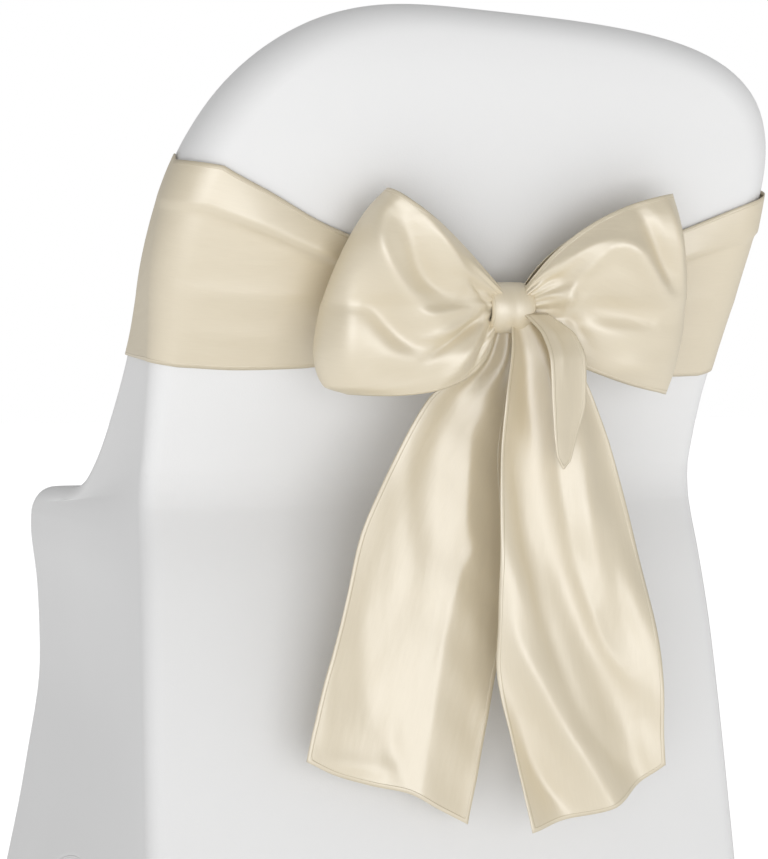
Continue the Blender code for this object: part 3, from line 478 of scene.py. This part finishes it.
def arch_point(u, v, inset):
    """A point (x, z) of the arched top: u and v map a half square on to it, and inset draws it in."""
    across = u * math.sqrt(1 - v * v / 2)
    up = v * math.sqrt(1 - u * u / 2)
    reach = math.hypot(across, up)
    if reach > 0:
        arch = ARCH_LEFT + (ARCH_RIGHT - ARCH_LEFT) * (0.5 + 0.5 * math.sin(across / reach * math.pi / 2))
        outline = (abs(across / reach) ** arch + abs(up / reach) ** arch) ** (-1 / arch)
        stretch = 1 + reach**2 * (outline - 1)
        across, up = across * stretch, up * stretch
    z = SPRING + up * (1 - ARCH_FALL * across) * (CROWN - SPRING - inset)
    return across * (column("rear_w", level_of(z)) - inset), z


def arch_face(side, u, v):
    """A point of the rear or front panel in the arched top."""
    x, z = arch_point(u, v, column("corner", SPRING_LEVEL))
    return np.array([x, column(side + "_y", level_of(z)), z])


def arch_rim(u, v, f):
    """A point of the rim of the arched top.

    f is 0 to 1 round the rear edge, 1 to 2 across the rim and 2 to 3 round the front edge.
    """
    inner_x, inner_z = arch_point(u, v, column("corner", SPRING_LEVEL))
    outer_x, outer_z = arch_point(u, v, 0.0)
    level = level_of(inner_z)
    radius = column("corner", level)
    rear = column("rear_y", level)
    front = column("front_y", level)
    if f <= 1:
        turn, y = f, rear + radius * (1 - math.cos(f * math.pi / 2))
    elif f < 2:
        turn, y = 1, rear + radius + (front - rear - 2 * radius) * (f - 1)
    else:
        turn, y = 3 - f, front - radius * (1 - math.cos((3 - f) * math.pi / 2))
    out = math.sin(turn * math.pi / 2)
    return np.array([inner_x + (outer_x - inner_x) * out, y, inner_z + (outer_z - inner_z) * out])


def rim_section(hand, level, f):
    """A point of the side and its two edges below the springing, with f as in arch_rim."""
    if f <= 1:
        return edge_point("rear", hand, level, f)
    if f < 2:
        return side_point(hand, level, f - 1)
    return edge_point("front", hand, level, 3 - f)


def cover_grids():
    """The grids of the cover: its two panels, and the strip that runs up one side, over the top and down."""
    spread = np.linspace(-1, 1, ACROSS + 1)
    climb = np.linspace(0, 1, ARCH_ROWS + 1)
    turns = np.linspace(0, 1, EDGE_STEPS + 1)
    across = np.linspace(1, 2, SIDE_STEPS + 1)
    section = [*turns, *across[1:-1], *(2 + turns)]
    last = len(SECTIONS) - 1
    levels = np.linspace(SPRING_LEVEL, last, (last - SPRING_LEVEL) * LEVEL_STEPS + 1)
    panels = {}
    for side in ("rear", "front"):
        panels[side] = [[arch_face(side, u, v) for u in spread] for v in climb[:0:-1]]
        panels[side] += [[panel_point(side, u, level) for u in spread] for level in levels]
    strip = [[rim_section(-1, level, f) for f in section] for level in levels[:0:-1]]
    strip += [[arch_rim(-1, v, f) for f in section] for v in climb[:-1]]
    strip += [[arch_rim(u, 1, f) for f in section] for u in spread]
    strip += [[arch_rim(1, v, f) for f in section] for v in climb[-2::-1]]
    strip += [[rim_section(1, level, f) for f in section] for level in levels[1:]]
    return [panels["rear"], [row[::-1] for row in panels["front"]], strip]


# ---- the sash ----
def relief(x, z, creases):
    """How far the creases lift the satin at places (x, z)."""
    x, z = np.broadcast_arrays(x * 1000, z * 1000)
    lift = np.zeros(x.shape)
    knots = np.array([0, 1 / 3, 2 / 3, 1])
    along = np.linspace(0, 1, CREASE_POINTS)
    for crease in creases:
        row = np.array(crease[4:]).reshape(4, 2)
        line = np.stack([np.polyval(np.polyfit(knots, row[:, k], 3), along) for k in (0, 1)], axis=-1)
        run = np.gradient(line, axis=0)
        run /= np.linalg.norm(run, axis=1, keepdims=True)
        away = np.stack([x, z], axis=-1)[..., None, :] - line
        near = np.argmin((away**2).sum(axis=-1), axis=-1)
        away = np.take_along_axis(away, near[..., None, None], axis=-2)[..., 0, :]
        beside = run[near, 0] * away[..., 1] - run[near, 1] * away[..., 0]
        past = (run[near] * away).sum(axis=-1)
        past = np.where((near == 0) & (past < 0) | (near == CREASE_POINTS - 1) & (past > 0), past, 0.0)
        width = crease.width * np.where(beside < 0, crease.right, 1.0)
        fade = np.sin(math.pi * (CREASE_START + (1 - 2 * CREASE_START) * along))[near]
        reach = np.hypot(beside / width, past / (CREASE_END * crease.width))
        lift += crease.rise * fade * np.exp(-(reach**crease.crisp))
    return lift / 1000


def ripple(x, z):
    """The slight unevenness of the satin between its creases: waves in radians for each metre of x and z."""
    long = np.sin(x * 95 + 1.3 * np.sin(z * 40)) * np.cos(z * 31 + 0.7)
    short = np.sin(z * 120 + x * 60 + 2 * np.sin(x * 45))
    return RIPPLE_LONG * long + RIPPLE_SHORT * short


def outline_x(z, hand, inset):
    """How far the back reaches to one side at a height."""
    if z <= SPRING:
        return column("rear_w", level_of(z)) - inset
    climb = np.linspace(0, 1, OUTLINE_STEPS + 1)
    outline = np.array([arch_point(hand, v, inset) for v in climb])
    return abs(np.interp(z, outline[:, 1], outline[:, 0]))


def edge_reach(hand, heights):
    """Where the rounded edge starts at each of some heights."""
    sample = np.linspace(float(np.min(heights)), float(np.max(heights)), OUTLINE_STEPS)
    return np.interp(heights, sample, [ring_section(hand, z)[3] for z in sample])


def ring_section(hand, z):
    """What ring_point needs at a height: the edges' radius, depths, start and outermost reach."""
    level = level_of(z)
    radius = column("corner", level)
    inner = outline_x(z, hand, min(radius, column("corner", SPRING_LEVEL)))
    return radius, column("rear_y", level), column("front_y", level), inner, outline_x(z, hand, 0)


def ring_point(hand, place, z, gap, section):
    """A point round one side of the back at a height, at a gap from the cover.

    place runs from 3 to 2 round the rear edge, from 2 to 1 along the side and from 1 to 0 round the front
    edge.
    """
    radius, rear, front, inner, outer = section
    if place >= 2:
        angle = (3 - place) * math.pi / 2
        turn = (math.sin(angle), -math.cos(angle))
        centre = (inner, rear + radius)
    elif place >= 1:
        turn = (1.0, 0.0)
        centre = (inner, rear + radius + (front - rear - 2 * radius) * (2 - place))
    else:
        angle = place * math.pi / 2
        turn = (math.sin(angle), math.cos(angle))
        centre = (inner, front - radius)
    reach_x = outer - inner + gap
    reach_y = radius + gap
    return np.array([hand * (centre[0] + turn[0] * reach_x), centre[1] + turn[1] * reach_y, z])


def band_fold(across):
    """The profile of the flat fold: it rises evenly from the upper edge and drops back at once."""
    down = (1 - across) / 2
    swell = np.minimum(down / FOLD_PEAK, 1.0)
    drop = 0.5 + 0.5 * np.cos(math.pi * np.clip((down - FOLD_PEAK) / FOLD_DROP, 0.0, 1.0))
    return swell * drop


def band_grid(rear_steps, edge_steps, front_steps, across_steps):
    """The band from the knot round the left side, over the front and back to the knot."""
    span = np.linspace(-1, 1, across_steps + 1)
    turns = np.linspace(0, 1, edge_steps + 1)
    halves = []
    for edges, hand in ((table(BAND_LEFT), -1), (table(BAND_RIGHT), 1)):
        order = 1 if edges["x"][-1] > edges["x"][0] else -1
        x = np.linspace(edges["x"][0], edges["x"][-1], rear_steps, endpoint=False)[:, None]
        edge = {name: smooth(order * edges["x"], edges[name], order * x) for name in edges}
        z = edge["low"] + (edge["high"] - edge["low"]) * (span + 1) / 2
        near_edge = (np.arange(rear_steps) / rear_steps)[:, None] ** EDGE_PULL
        gap = BAND_GAP + (EDGE_GAP - BAND_GAP) * near_edge
        out = gap + edge["out"] + edge["fold"] * band_fold(span) + relief(x, z, CREASES_BAND)
        x = x + (hand * edge_reach(hand, z) - edges["x"][-1]) * near_edge
        half = list(np.stack([x, rear_y(z) - out, z], axis=-1))
        low, high = edges["low"][-1], edges["high"][-1]
        for place in [*(3 - turns), *(1 - turns)]:
            f = (3 - place) / 3
            edge_low = low + (BAND_FRONT[0] - low) * f
            edge_high = high + (BAND_FRONT[1] - high) * math.sin(f * math.pi / 2)
            heights = edge_low + (edge_high - edge_low) * (span + 1) / 2
            gaps = EDGE_GAP + edges["fold"][-1] * band_fold(span) * (1 - f) ** 2
            row = [
                ring_point(hand, place, z, gap, ring_section(hand, z))
                for z, gap in zip(heights, gaps, strict=True)
            ]
            half.append(np.array(row))
        halves.append(half)
    left, right = halves
    front = [left[-1] * (1 - f) + right[-1] * f for f in np.linspace(0, 1, front_steps + 1)[1:-1]]
    return np.array(left + front + right[::-1])


def loop_base(z, hang):
    """The depth that a loop is measured from.

    It is the panel's above the knot, and between the panel's and the knot's below it, by how much the loop
    hangs down there.
    """
    lean = rear_y(z) - rear_y(KNOT_Z)
    return rear_y(KNOT_Z) + lean * np.where(z < KNOT_Z, 1 - hang, 1)


def loop_grid(rows, creases, hang, round_steps, across_steps):
    """A loop of the bow: theta runs from the knot along the front, round the turn (pi) and back (2 pi)."""
    lines = table(rows)
    across = np.linspace(-1, 1, across_steps + 1)[None, :]
    theta = np.linspace(0, 2 * math.pi, round_steps + 1)[:, None]
    line = {name: smooth(lines["across"], lines[name], across) for name in lines}
    middle = {name: smooth(lines["across"], lines[name], 0.0) for name in lines}
    hand = math.copysign(1, lines["turn_x"][0])
    f = (1 - np.cos(theta)) / 2
    x = hand * LOOP_START * (1 - f) ** 2 + 2 * line["aside_x"] * f * (1 - f) + line["turn_x"] * f**2
    z = across * LOOP_ROOT * (1 - f) ** 2 + 2 * line["aside_z"] * f * (1 - f) + line["turn_z"] * f**2
    tuck = np.where(theta > math.pi, 2 * LOOP_TUCK * f * (1 - f) * np.sin(theta / 2), 0)
    x = x + (middle["aside_x"] - x) * tuck
    z = z + (middle["aside_z"] - z) * tuck
    out = KNOT_OUT - LOOP_SET * f + LOOP_PART * np.cos(theta / 2)
    swell = np.where(theta < math.pi, PUFF_FRONT, PUFF_BACK)
    out = out + swell * line["puff"] * np.sin(theta) * np.sin(theta / 2)
    out = out + LOOP_PLEAT * (1 - f) ** 3 * np.cos(LOOP_PLEATS * math.pi * across) * np.cos(theta / 2)
    out = out + GATHER * (1 - f) ** 4 * np.cos(GATHERS * math.pi * across + hand) * np.cos(theta / 2)
    x, z = KNOT_X + x, KNOT_Z + z
    front = np.clip((math.pi - theta) / FRONT_FADE, 0, 1)
    lift = (relief(x, z, creases) + ripple(x, z)) * front * front * (3 - 2 * front)
    return np.stack([x, loop_base(z, hang) - out - lift, z], axis=-1)


def tail_grid(rows, hem, creases, folds, down_steps, across_steps):
    """A tail from the knot down to its hem, from its left edge to its right one."""
    columns = table(rows)
    f = np.linspace(0, 1, across_steps + 1)[None, :]
    down = np.linspace(0, 1, down_steps + 1)[:, None]
    top = columns["z"][0]
    z = top + (smooth(np.linspace(0, 1, len(hem)), hem, f) - top) * down
    left, right, y, fold, turn = (smooth(-columns["z"], columns[name], -z) for name in TailRow._fields[1:])
    x = left + (right - left) * f
    y = y + fold * np.cos(math.pi * (folds * f + turn)) - relief(x, z, creases) - ripple(x, z)
    return np.stack([x, y, z], axis=-1)


def knot_grid(round_steps, along_steps):
    """The wrap of the knot: a tube drawn in at its ends, with folds running round it."""
    middle = np.array([KNOT_X, rear_y(KNOT_Z) - KNOT_OUT, KNOT_Z])
    angle = np.linspace(-math.pi, math.pi, round_steps + 1)[:, None]
    along = np.linspace(-1, 1, along_steps + 1)[None, :]
    close = np.sqrt(np.clip(1 - KNOT_NARROWING * np.abs(along) ** 4, 0, 1))
    crease = 1 - KNOT_CREASE * np.cos(along * 5 + 0.9 * np.sin(angle + 0.6))
    crease = crease - KNOT_FINE_CREASE * np.cos(along * 11 + 2 * angle)
    y = -np.cos(angle) * KNOT_DEPTH / 2 * close * crease
    z = np.sin(angle) * KNOT_HEIGHT / 2 * close * crease
    x = along * KNOT_LENGTH / 2 * (1 - KNOT_SKEW * np.cos(angle + 0.8)) + 0 * angle
    return np.stack([middle[0] + x, middle[1] + y, middle[2] + z], axis=-1)


# ---- making pieces ----
def strip_maps(rows, free_end):
    """Two maps of a strip, in metres: its run with its width, and its run with the distance from an edge."""
    run = np.cumsum(np.linalg.norm(np.diff(rows, axis=0, prepend=rows[:1]), axis=2), axis=0)
    width = np.cumsum(np.linalg.norm(np.diff(rows, axis=1, prepend=rows[:, :1]), axis=2), axis=1)
    edge = np.minimum(width, width[:, -1:] - width)
    if free_end:
        edge = np.minimum(edge, run[-1] - run)
    run = run + 0 * width
    return np.stack([run, width], axis=-1), np.stack([run, edge], axis=-1)


def hem_map(rows, both_ends):
    """The run along the hem and the distance from it, in metres."""
    down = np.cumsum(np.linalg.norm(np.diff(rows, axis=0, prepend=rows[:1]), axis=2), axis=0)
    hem = down[-1] - down
    if both_ends:
        hem = np.minimum(hem, down)
    along = np.cumsum(np.linalg.norm(np.diff(rows[-1], axis=0, prepend=rows[-1][:1]), axis=1))
    return np.stack([along + 0 * hem, hem], axis=-1)


def add_grid(mesh, rows, maps):
    """Adds a grid of four-sided faces from rows of points, with places on the mesh's UV maps by name."""
    verts = [[mesh.verts.new(point) for point in row] for row in rows]
    layers = [(mesh.loops.layers.uv[name], places) for name, places in maps.items()]
    for i in range(len(rows) - 1):
        for k in range(len(rows[i]) - 1):
            corners = ((i, k), (i + 1, k), (i + 1, k + 1), (i, k + 1))
            face = mesh.faces.new([verts[r][c] for r, c in corners])
            face.smooth = True
            for layer, places in layers:
                for loop, (r, c) in zip(face.loops, corners, strict=True):
                    loop[layer].uv = places[r][c]


def make_piece(name, mesh, thickness, offset):
    """Puts a bmesh in the scene as a piece of cloth of that thickness, in the frame."""
    bmesh.ops.translate(mesh, vec=(0, -RAIL_Y, -RAIL_Z), verts=mesh.verts)
    data = bpy.data.meshes.new(name)
    mesh.to_mesh(data)
    mesh.free()
    piece = bpy.data.objects.new(name, data)
    bpy.context.scene.collection.objects.link(piece)
    cloth = piece.modifiers.new("cloth", "SOLIDIFY")
    cloth.thickness = thickness
    cloth.offset = offset
    return piece


def make_cover():
    """The cover, with the soft folds that the feet pull into its cloth."""
    mesh = bmesh.new()
    mesh.loops.layers.uv.new("hem")
    for grid, both_ends in zip(cover_grids(), (False, False, True), strict=True):
        rows = np.array(grid)
        add_grid(mesh, rows, {"hem": hem_map(rows, both_ends)})
    bmesh.ops.remove_doubles(mesh, verts=mesh.verts, dist=WELD)
    bmesh.ops.recalc_face_normals(mesh, faces=mesh.faces)
    mesh.normal_update()
    lifts = [tension(vert.co) for vert in mesh.verts]
    for vert, lift in zip(mesh.verts, lifts, strict=True):
        vert.co += vert.normal * lift
    return make_piece("cover_cloth", mesh, STRETCH_CLOTH, -1)


def tension(place):
    """How far the cloth is lifted by the soft folds that fan out from the feet."""
    lift = 0.0
    for foot_x, foot_y in FEET.values():
        aside = math.hypot(place.x - foot_x, place.y - foot_y)
        reach = math.hypot(aside, place.z - POCKET_HEIGHT)
        fan = math.atan2(aside, place.z)
        fade = math.exp(-(((reach - TENSION_REACH) / TENSION_SPREAD) ** 2))
        lift += TENSION * fade * math.cos(TENSION_FOLDS * fan)
    return lift


def make_sash():
    """The sash: its band, loops, tails, short fold and knot in one mesh."""
    mesh = bmesh.new()
    for name in ("cloth", "edge"):
        mesh.loops.layers.uv.new(name)
    strips = [
        (band_grid(*BAND_STEPS), False),
        (loop_grid(LOOP_LEFT, CREASES_LEFT, HANG_LEFT, *LOOP_STEPS), False),
        (loop_grid(LOOP_RIGHT, CREASES_RIGHT, HANG_RIGHT, *LOOP_STEPS), False),
        (tail_grid(TAIL_LEFT, HEM_LEFT, CREASES_TAIL_LEFT, TAIL_FOLDS, *TAIL_STEPS), True),
        (tail_grid(TAIL_RIGHT, HEM_RIGHT, CREASES_TAIL_RIGHT, TAIL_FOLDS, *TAIL_STEPS), True),
        (tail_grid(PLEAT, HEM_PLEAT, CREASES_PLEAT, PLEAT_FOLDS, *PLEAT_STEPS), True),
        (knot_grid(*KNOT_STEPS), False),
    ]
    for rows, free_end in strips:
        cloth, edge = strip_maps(rows, free_end)
        add_grid(mesh, rows, {"cloth": cloth, "edge": edge})
    return make_piece("sash_satin", mesh, SATIN, 0)


def pocket_rows():
    """The rows of a foot pocket, from the middle of its base, round the edge of its base and up its wall."""
    half, flat = POCKET / 2, POCKET / 2 - POCKET_CORNER
    outline = []
    for corner in range(4):
        for step in range(POCKET_STEPS + 1):
            angle = (corner + step / POCKET_STEPS) * math.pi / 2
            middle = (corner + 0.5) * math.pi / 2
            x = flat * math.copysign(1, math.cos(middle)) + POCKET_CORNER * math.cos(angle)
            y = flat * math.copysign(1, math.sin(middle)) + POCKET_CORNER * math.sin(angle)
            outline.append((x, y))
    outline = np.array([*outline, outline[0]])
    base = outline * (1 - POCKET_TOE / half)
    rows = [np.c_[base * f, 0 * base[:, 0]] for f in np.linspace(POCKET_HOLE, 1, BASE_ROWS)]
    for angle in np.linspace(0, math.pi / 2, TOE_ROWS)[1:]:
        scale = 1 - POCKET_TOE / half * (1 - math.sin(angle))
        rows.append(np.c_[outline * scale, np.full(len(outline), POCKET_TOE * (1 - math.cos(angle)))])
    around = np.linspace(0, 2 * math.pi, len(outline))
    for up in np.linspace(0, 1, WALL_ROWS)[1:]:
        z = POCKET_TOE + (POCKET_HEIGHT - POCKET_TOE) * up
        pucker = POCKET_PUCKER * np.cos(9 * around + 2) * up + POCKET_FOLD * np.cos(4 * around + 5 * up)
        rows.append(np.c_[outline * (1 - (POCKET_INSET + pucker)[:, None] / half), np.full(len(outline), z)])
    return np.array(rows)


def make_pocket(name, foot_x, foot_y):
    """The cup of cloth over one foot."""
    mesh = bmesh.new()
    mesh.loops.layers.uv.new("hem")
    rows = pocket_rows() + np.array([foot_x, foot_y, 0])
    add_grid(mesh, rows, {"hem": hem_map(rows, False)})
    bmesh.ops.remove_doubles(mesh, verts=mesh.verts, dist=WELD)
    bmesh.ops.recalc_face_normals(mesh, faces=mesh.faces)
    return make_piece(name, mesh, STRETCH_CLOTH, -1)


# ---- materials ----
def node(material, kind, **settings):
    """A shader node with its settings, and the values of its sockets, by name."""
    item = material.node_tree.nodes.new("ShaderNode" + kind)
    for name, value in settings.items():
        if hasattr(item, name):
            setattr(item, name, value)
        else:
            item.inputs[name.replace("_", " ")].default_value = value
    return item


def linked(material, kind, socket, source, **settings):
    """A shader node like those of node, with another node's output in one of its sockets."""
    item = node(material, kind, **settings)
    material.node_tree.links.new(source, item.inputs[socket])
    return item


def principled(name, roughness, **constants):
    """A new material with its shader and its links."""
    material = bpy.data.materials.new(name)
    material.use_nodes = True
    shader = material.node_tree.nodes["Principled BSDF"]
    shader.inputs["Roughness"].default_value = roughness
    for key, value in constants.items():
        shader.inputs[key.replace("_", " ")].default_value = value
    return material, shader, material.node_tree.links


def noise(material, place, scale, detail):
    """Noise over the given coordinates."""
    return linked(material, "TexNoise", "Vector", place, Scale=scale, Detail=detail).outputs["Fac"]


def scaled(material, place, scale):
    """Coordinates scaled along each axis."""
    return linked(material, "Mapping", "Vector", place, Scale=scale).outputs["Vector"]


def split_map(material, name):
    """The two numbers of a UV map."""
    uv = node(material, "UVMap", uv_map=name).outputs["UV"]
    split = linked(material, "SeparateXYZ", "Vector", uv)
    return split.outputs["X"], split.outputs["Y"]


def ramp(material, source, low, high):
    """Mixes two colours by a value."""
    mix = linked(material, "Mix", "Factor", source, data_type="RGBA")
    mix.inputs["A"].default_value = (*low, 1)
    mix.inputs["B"].default_value = (*high, 1)
    return mix.outputs["Result"]


def tint(material, cloth, color, share):
    """The cloth's colour with another one over it by a value."""
    mix = linked(material, "Mix", "Factor", share, data_type="RGBA")
    material.node_tree.links.new(cloth, mix.inputs["A"])
    mix.inputs["B"].default_value = color
    return mix.outputs["Result"]


def calculate(material, operation, *values):
    """A Math node; each value is a number or another node's output."""
    item = node(material, "Math", operation=operation)
    for socket, value in zip(item.inputs, values, strict=False):
        if isinstance(value, (int, float)):
            socket.default_value = value
        else:
            material.node_tree.links.new(value, socket)
    return item.outputs["Value"]


def add_bump(material, height, distance, under=None):
    """The normal of a surface raised by a height times a distance, on top of another bump if one is given."""
    bump = linked(material, "Bump", "Height", height, Strength=1.0, Distance=distance)
    if under is not None:
        material.node_tree.links.new(under, bump.inputs["Normal"])
    return bump.outputs["Normal"]


def stretch_material(name, low, high, hem_width):
    """A fine stretch knit, turned up at its hem and sewn there with a row of stitches."""
    material, shader, links = principled(
        name, KNIT_ROUGHNESS, Sheen_Weight=KNIT_SHEEN, Sheen_Roughness=KNIT_SHEEN_ROUGHNESS
    )
    calc = functools.partial(calculate, material)
    place = node(material, "TexCoord").outputs["Object"]
    along, hem = split_map(material, "hem")
    dash = calc("LESS_THAN", calc("FRACT", calc("MULTIPLY", along, 1 / STITCH)), STITCH_SHARE)
    row = calc("COMPARE", hem, hem_width - STITCH_INSET, STITCH_HALF)
    stitches = calc("MULTIPLY", dash, row)
    cloth = ramp(material, noise(material, place, KNIT_DRIFT, KNIT_DRIFT_DETAIL), low, high)
    cloth = tint(material, cloth, STITCH_COLOR, calc("MULTIPLY", stitches, STITCH_TINT))
    links.new(cloth, shader.inputs["Base Color"])
    knit = add_bump(material, noise(material, place, KNIT_GRAIN, KNIT_GRAIN_DETAIL), KNIT_GRAIN_HEIGHT)
    turned = calc("MULTIPLY", calc("SUBTRACT", hem_width + HEM_STEP, hem), HEM_SLOPE)
    turned = calc("MAXIMUM", calc("SMOOTH_MIN", turned, 1.0, HEM_BLEND), 0.0)
    turned = calc("SUBTRACT", turned, calc("MULTIPLY", stitches, STITCH_SINK))
    links.new(add_bump(material, turned, HEM_HEIGHT, knit), shader.inputs["Normal"])
    return material


def satin_material():
    """Satin: smooth, with its threads along the sash, a soft shine and a narrow rolled hem."""
    material, shader, links = principled("satin", SATIN_ROUGHNESS, IOR=SATIN_IOR)
    calc = functools.partial(calculate, material)
    place = node(material, "UVMap", uv_map="cloth").outputs["UV"]
    threads = noise(material, scaled(material, place, THREAD_SCALE), 1.0, THREAD_DETAIL)
    crumples = noise(material, scaled(material, place, CRUMPLE_SCALE), 1.0, CRUMPLE_DETAIL)
    _, edge = split_map(material, "edge")
    cloth = ramp(material, threads, SATIN_DARK, SATIN_LIGHT)
    seam = calc("COMPARE", edge, SEAM_INSET, SEAM_HALF)
    cloth = tint(material, cloth, SEAM_COLOR, calc("MULTIPLY", seam, SEAM_TINT))
    links.new(cloth, shader.inputs["Base Color"])
    weave = add_bump(material, threads, THREAD_HEIGHT)
    weave = add_bump(material, crumples, CRUMPLE_HEIGHT, weave)
    roll = calc("MULTIPLY", calc("SUBTRACT", ROLL_WIDTH, edge), ROLL_SLOPE)
    roll = calc("MINIMUM", calc("MAXIMUM", roll, 0.0), 1.0)
    links.new(add_bump(material, roll, ROLL_HEIGHT, weave), shader.inputs["Normal"])
    return material


# ---- the studio ----
def make_floor():
    mesh = bmesh.new()
    bmesh.ops.create_grid(mesh, x_segments=1, y_segments=1, size=FLOOR_SIZE)
    data = bpy.data.meshes.new("floor")
    mesh.to_mesh(data)
    mesh.free()
    floor = bpy.data.objects.new("floor", data)
    floor.location = (0, 0, -RAIL_Z)
    bpy.context.scene.collection.objects.link(floor)
    material, shader, _ = principled("floor_paint", FLOOR_ROUGHNESS)
    shader.inputs["Base Color"].default_value = FLOOR_COLOR
    shader.inputs["Emission Color"].default_value = WHITE
    shader.inputs["Emission Strength"].default_value = FLOOR_GLOW
    floor.visible_diffuse = False
    floor.visible_glossy = False
    floor.visible_shadow = False
    data.materials.append(material)


def make_world():
    """Soft light from all round, by height, with plain white behind the object."""
    world = bpy.data.worlds.new("studio")
    world.use_nodes = True
    nodes, links = world.node_tree.nodes, world.node_tree.links
    light = nodes["Background"]
    light.inputs["Color"].default_value = WHITE
    split = linked(world, "SeparateXYZ", "Vector", node(world, "TexCoord").outputs["Generated"])
    strength = node(world, "MapRange", From_Min=-HORIZON, From_Max=HORIZON, To_Min=GROUND, To_Max=SKY)
    links.new(split.outputs["Z"], strength.inputs["Value"])
    links.new(strength.outputs["Result"], light.inputs["Strength"])
    backdrop = node(world, "Background", Color=WHITE)
    choose = linked(world, "MixShader", "Fac", node(world, "LightPath").outputs["Is Camera Ray"])
    links.new(light.outputs["Background"], choose.inputs[1])
    links.new(backdrop.outputs["Background"], choose.inputs[2])
    links.new(choose.outputs["Shader"], nodes["World Output"].inputs["Surface"])
    bpy.context.scene.world = world


def make_light(light):
    data = bpy.data.lights.new(light.name, "AREA")
    data.shape = "RECTANGLE"
    data.size = data.size_y = light.size
    data.energy = light.power
    item = bpy.data.objects.new(light.name, data)
    item.location = light.place
    item.rotation_euler = (Vector(AIM) - Vector(light.place)).to_track_quat("-Z", "Y").to_euler()
    bpy.context.scene.collection.objects.link(item)


def make_camera():
    data = bpy.data.cameras.new("camera")
    data.sensor_width = CAMERA_SENSOR
    data.lens = CAMERA_LENS
    camera = bpy.data.objects.new("camera", data)
    camera.location = CAMERA_PLACE
    camera.rotation_euler = (math.pi / 2 - math.radians(CAMERA_FALL), 0, -math.radians(CAMERA_AZIMUTH))
    bpy.context.scene.collection.objects.link(camera)
    bpy.context.scene.camera = camera


cover = make_cover()
cover.data.materials.append(stretch_material("stretch_knit", KNIT_DARK, KNIT_LIGHT, COVER_HEM))
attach(cover, "root")
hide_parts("cover")
sash = make_sash()
sash.data.materials.append(satin_material())
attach(sash, "root")
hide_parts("sash")
pocket_cloth = stretch_material("pocket_knit", POCKET_DARK, POCKET_LIGHT, POCKET_HEM)
for place, (foot_x, foot_y) in FEET.items():
    pocket = make_pocket("pocket_" + place, foot_x, foot_y)
    pocket.data.materials.append(pocket_cloth)
    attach(pocket, "root")
    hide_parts("foot_pocket_" + place)
make_floor()
make_world()
for light in LIGHTS:
    make_light(light)
bpy.context.scene.view_settings.view_transform = "Standard"
make_camera()
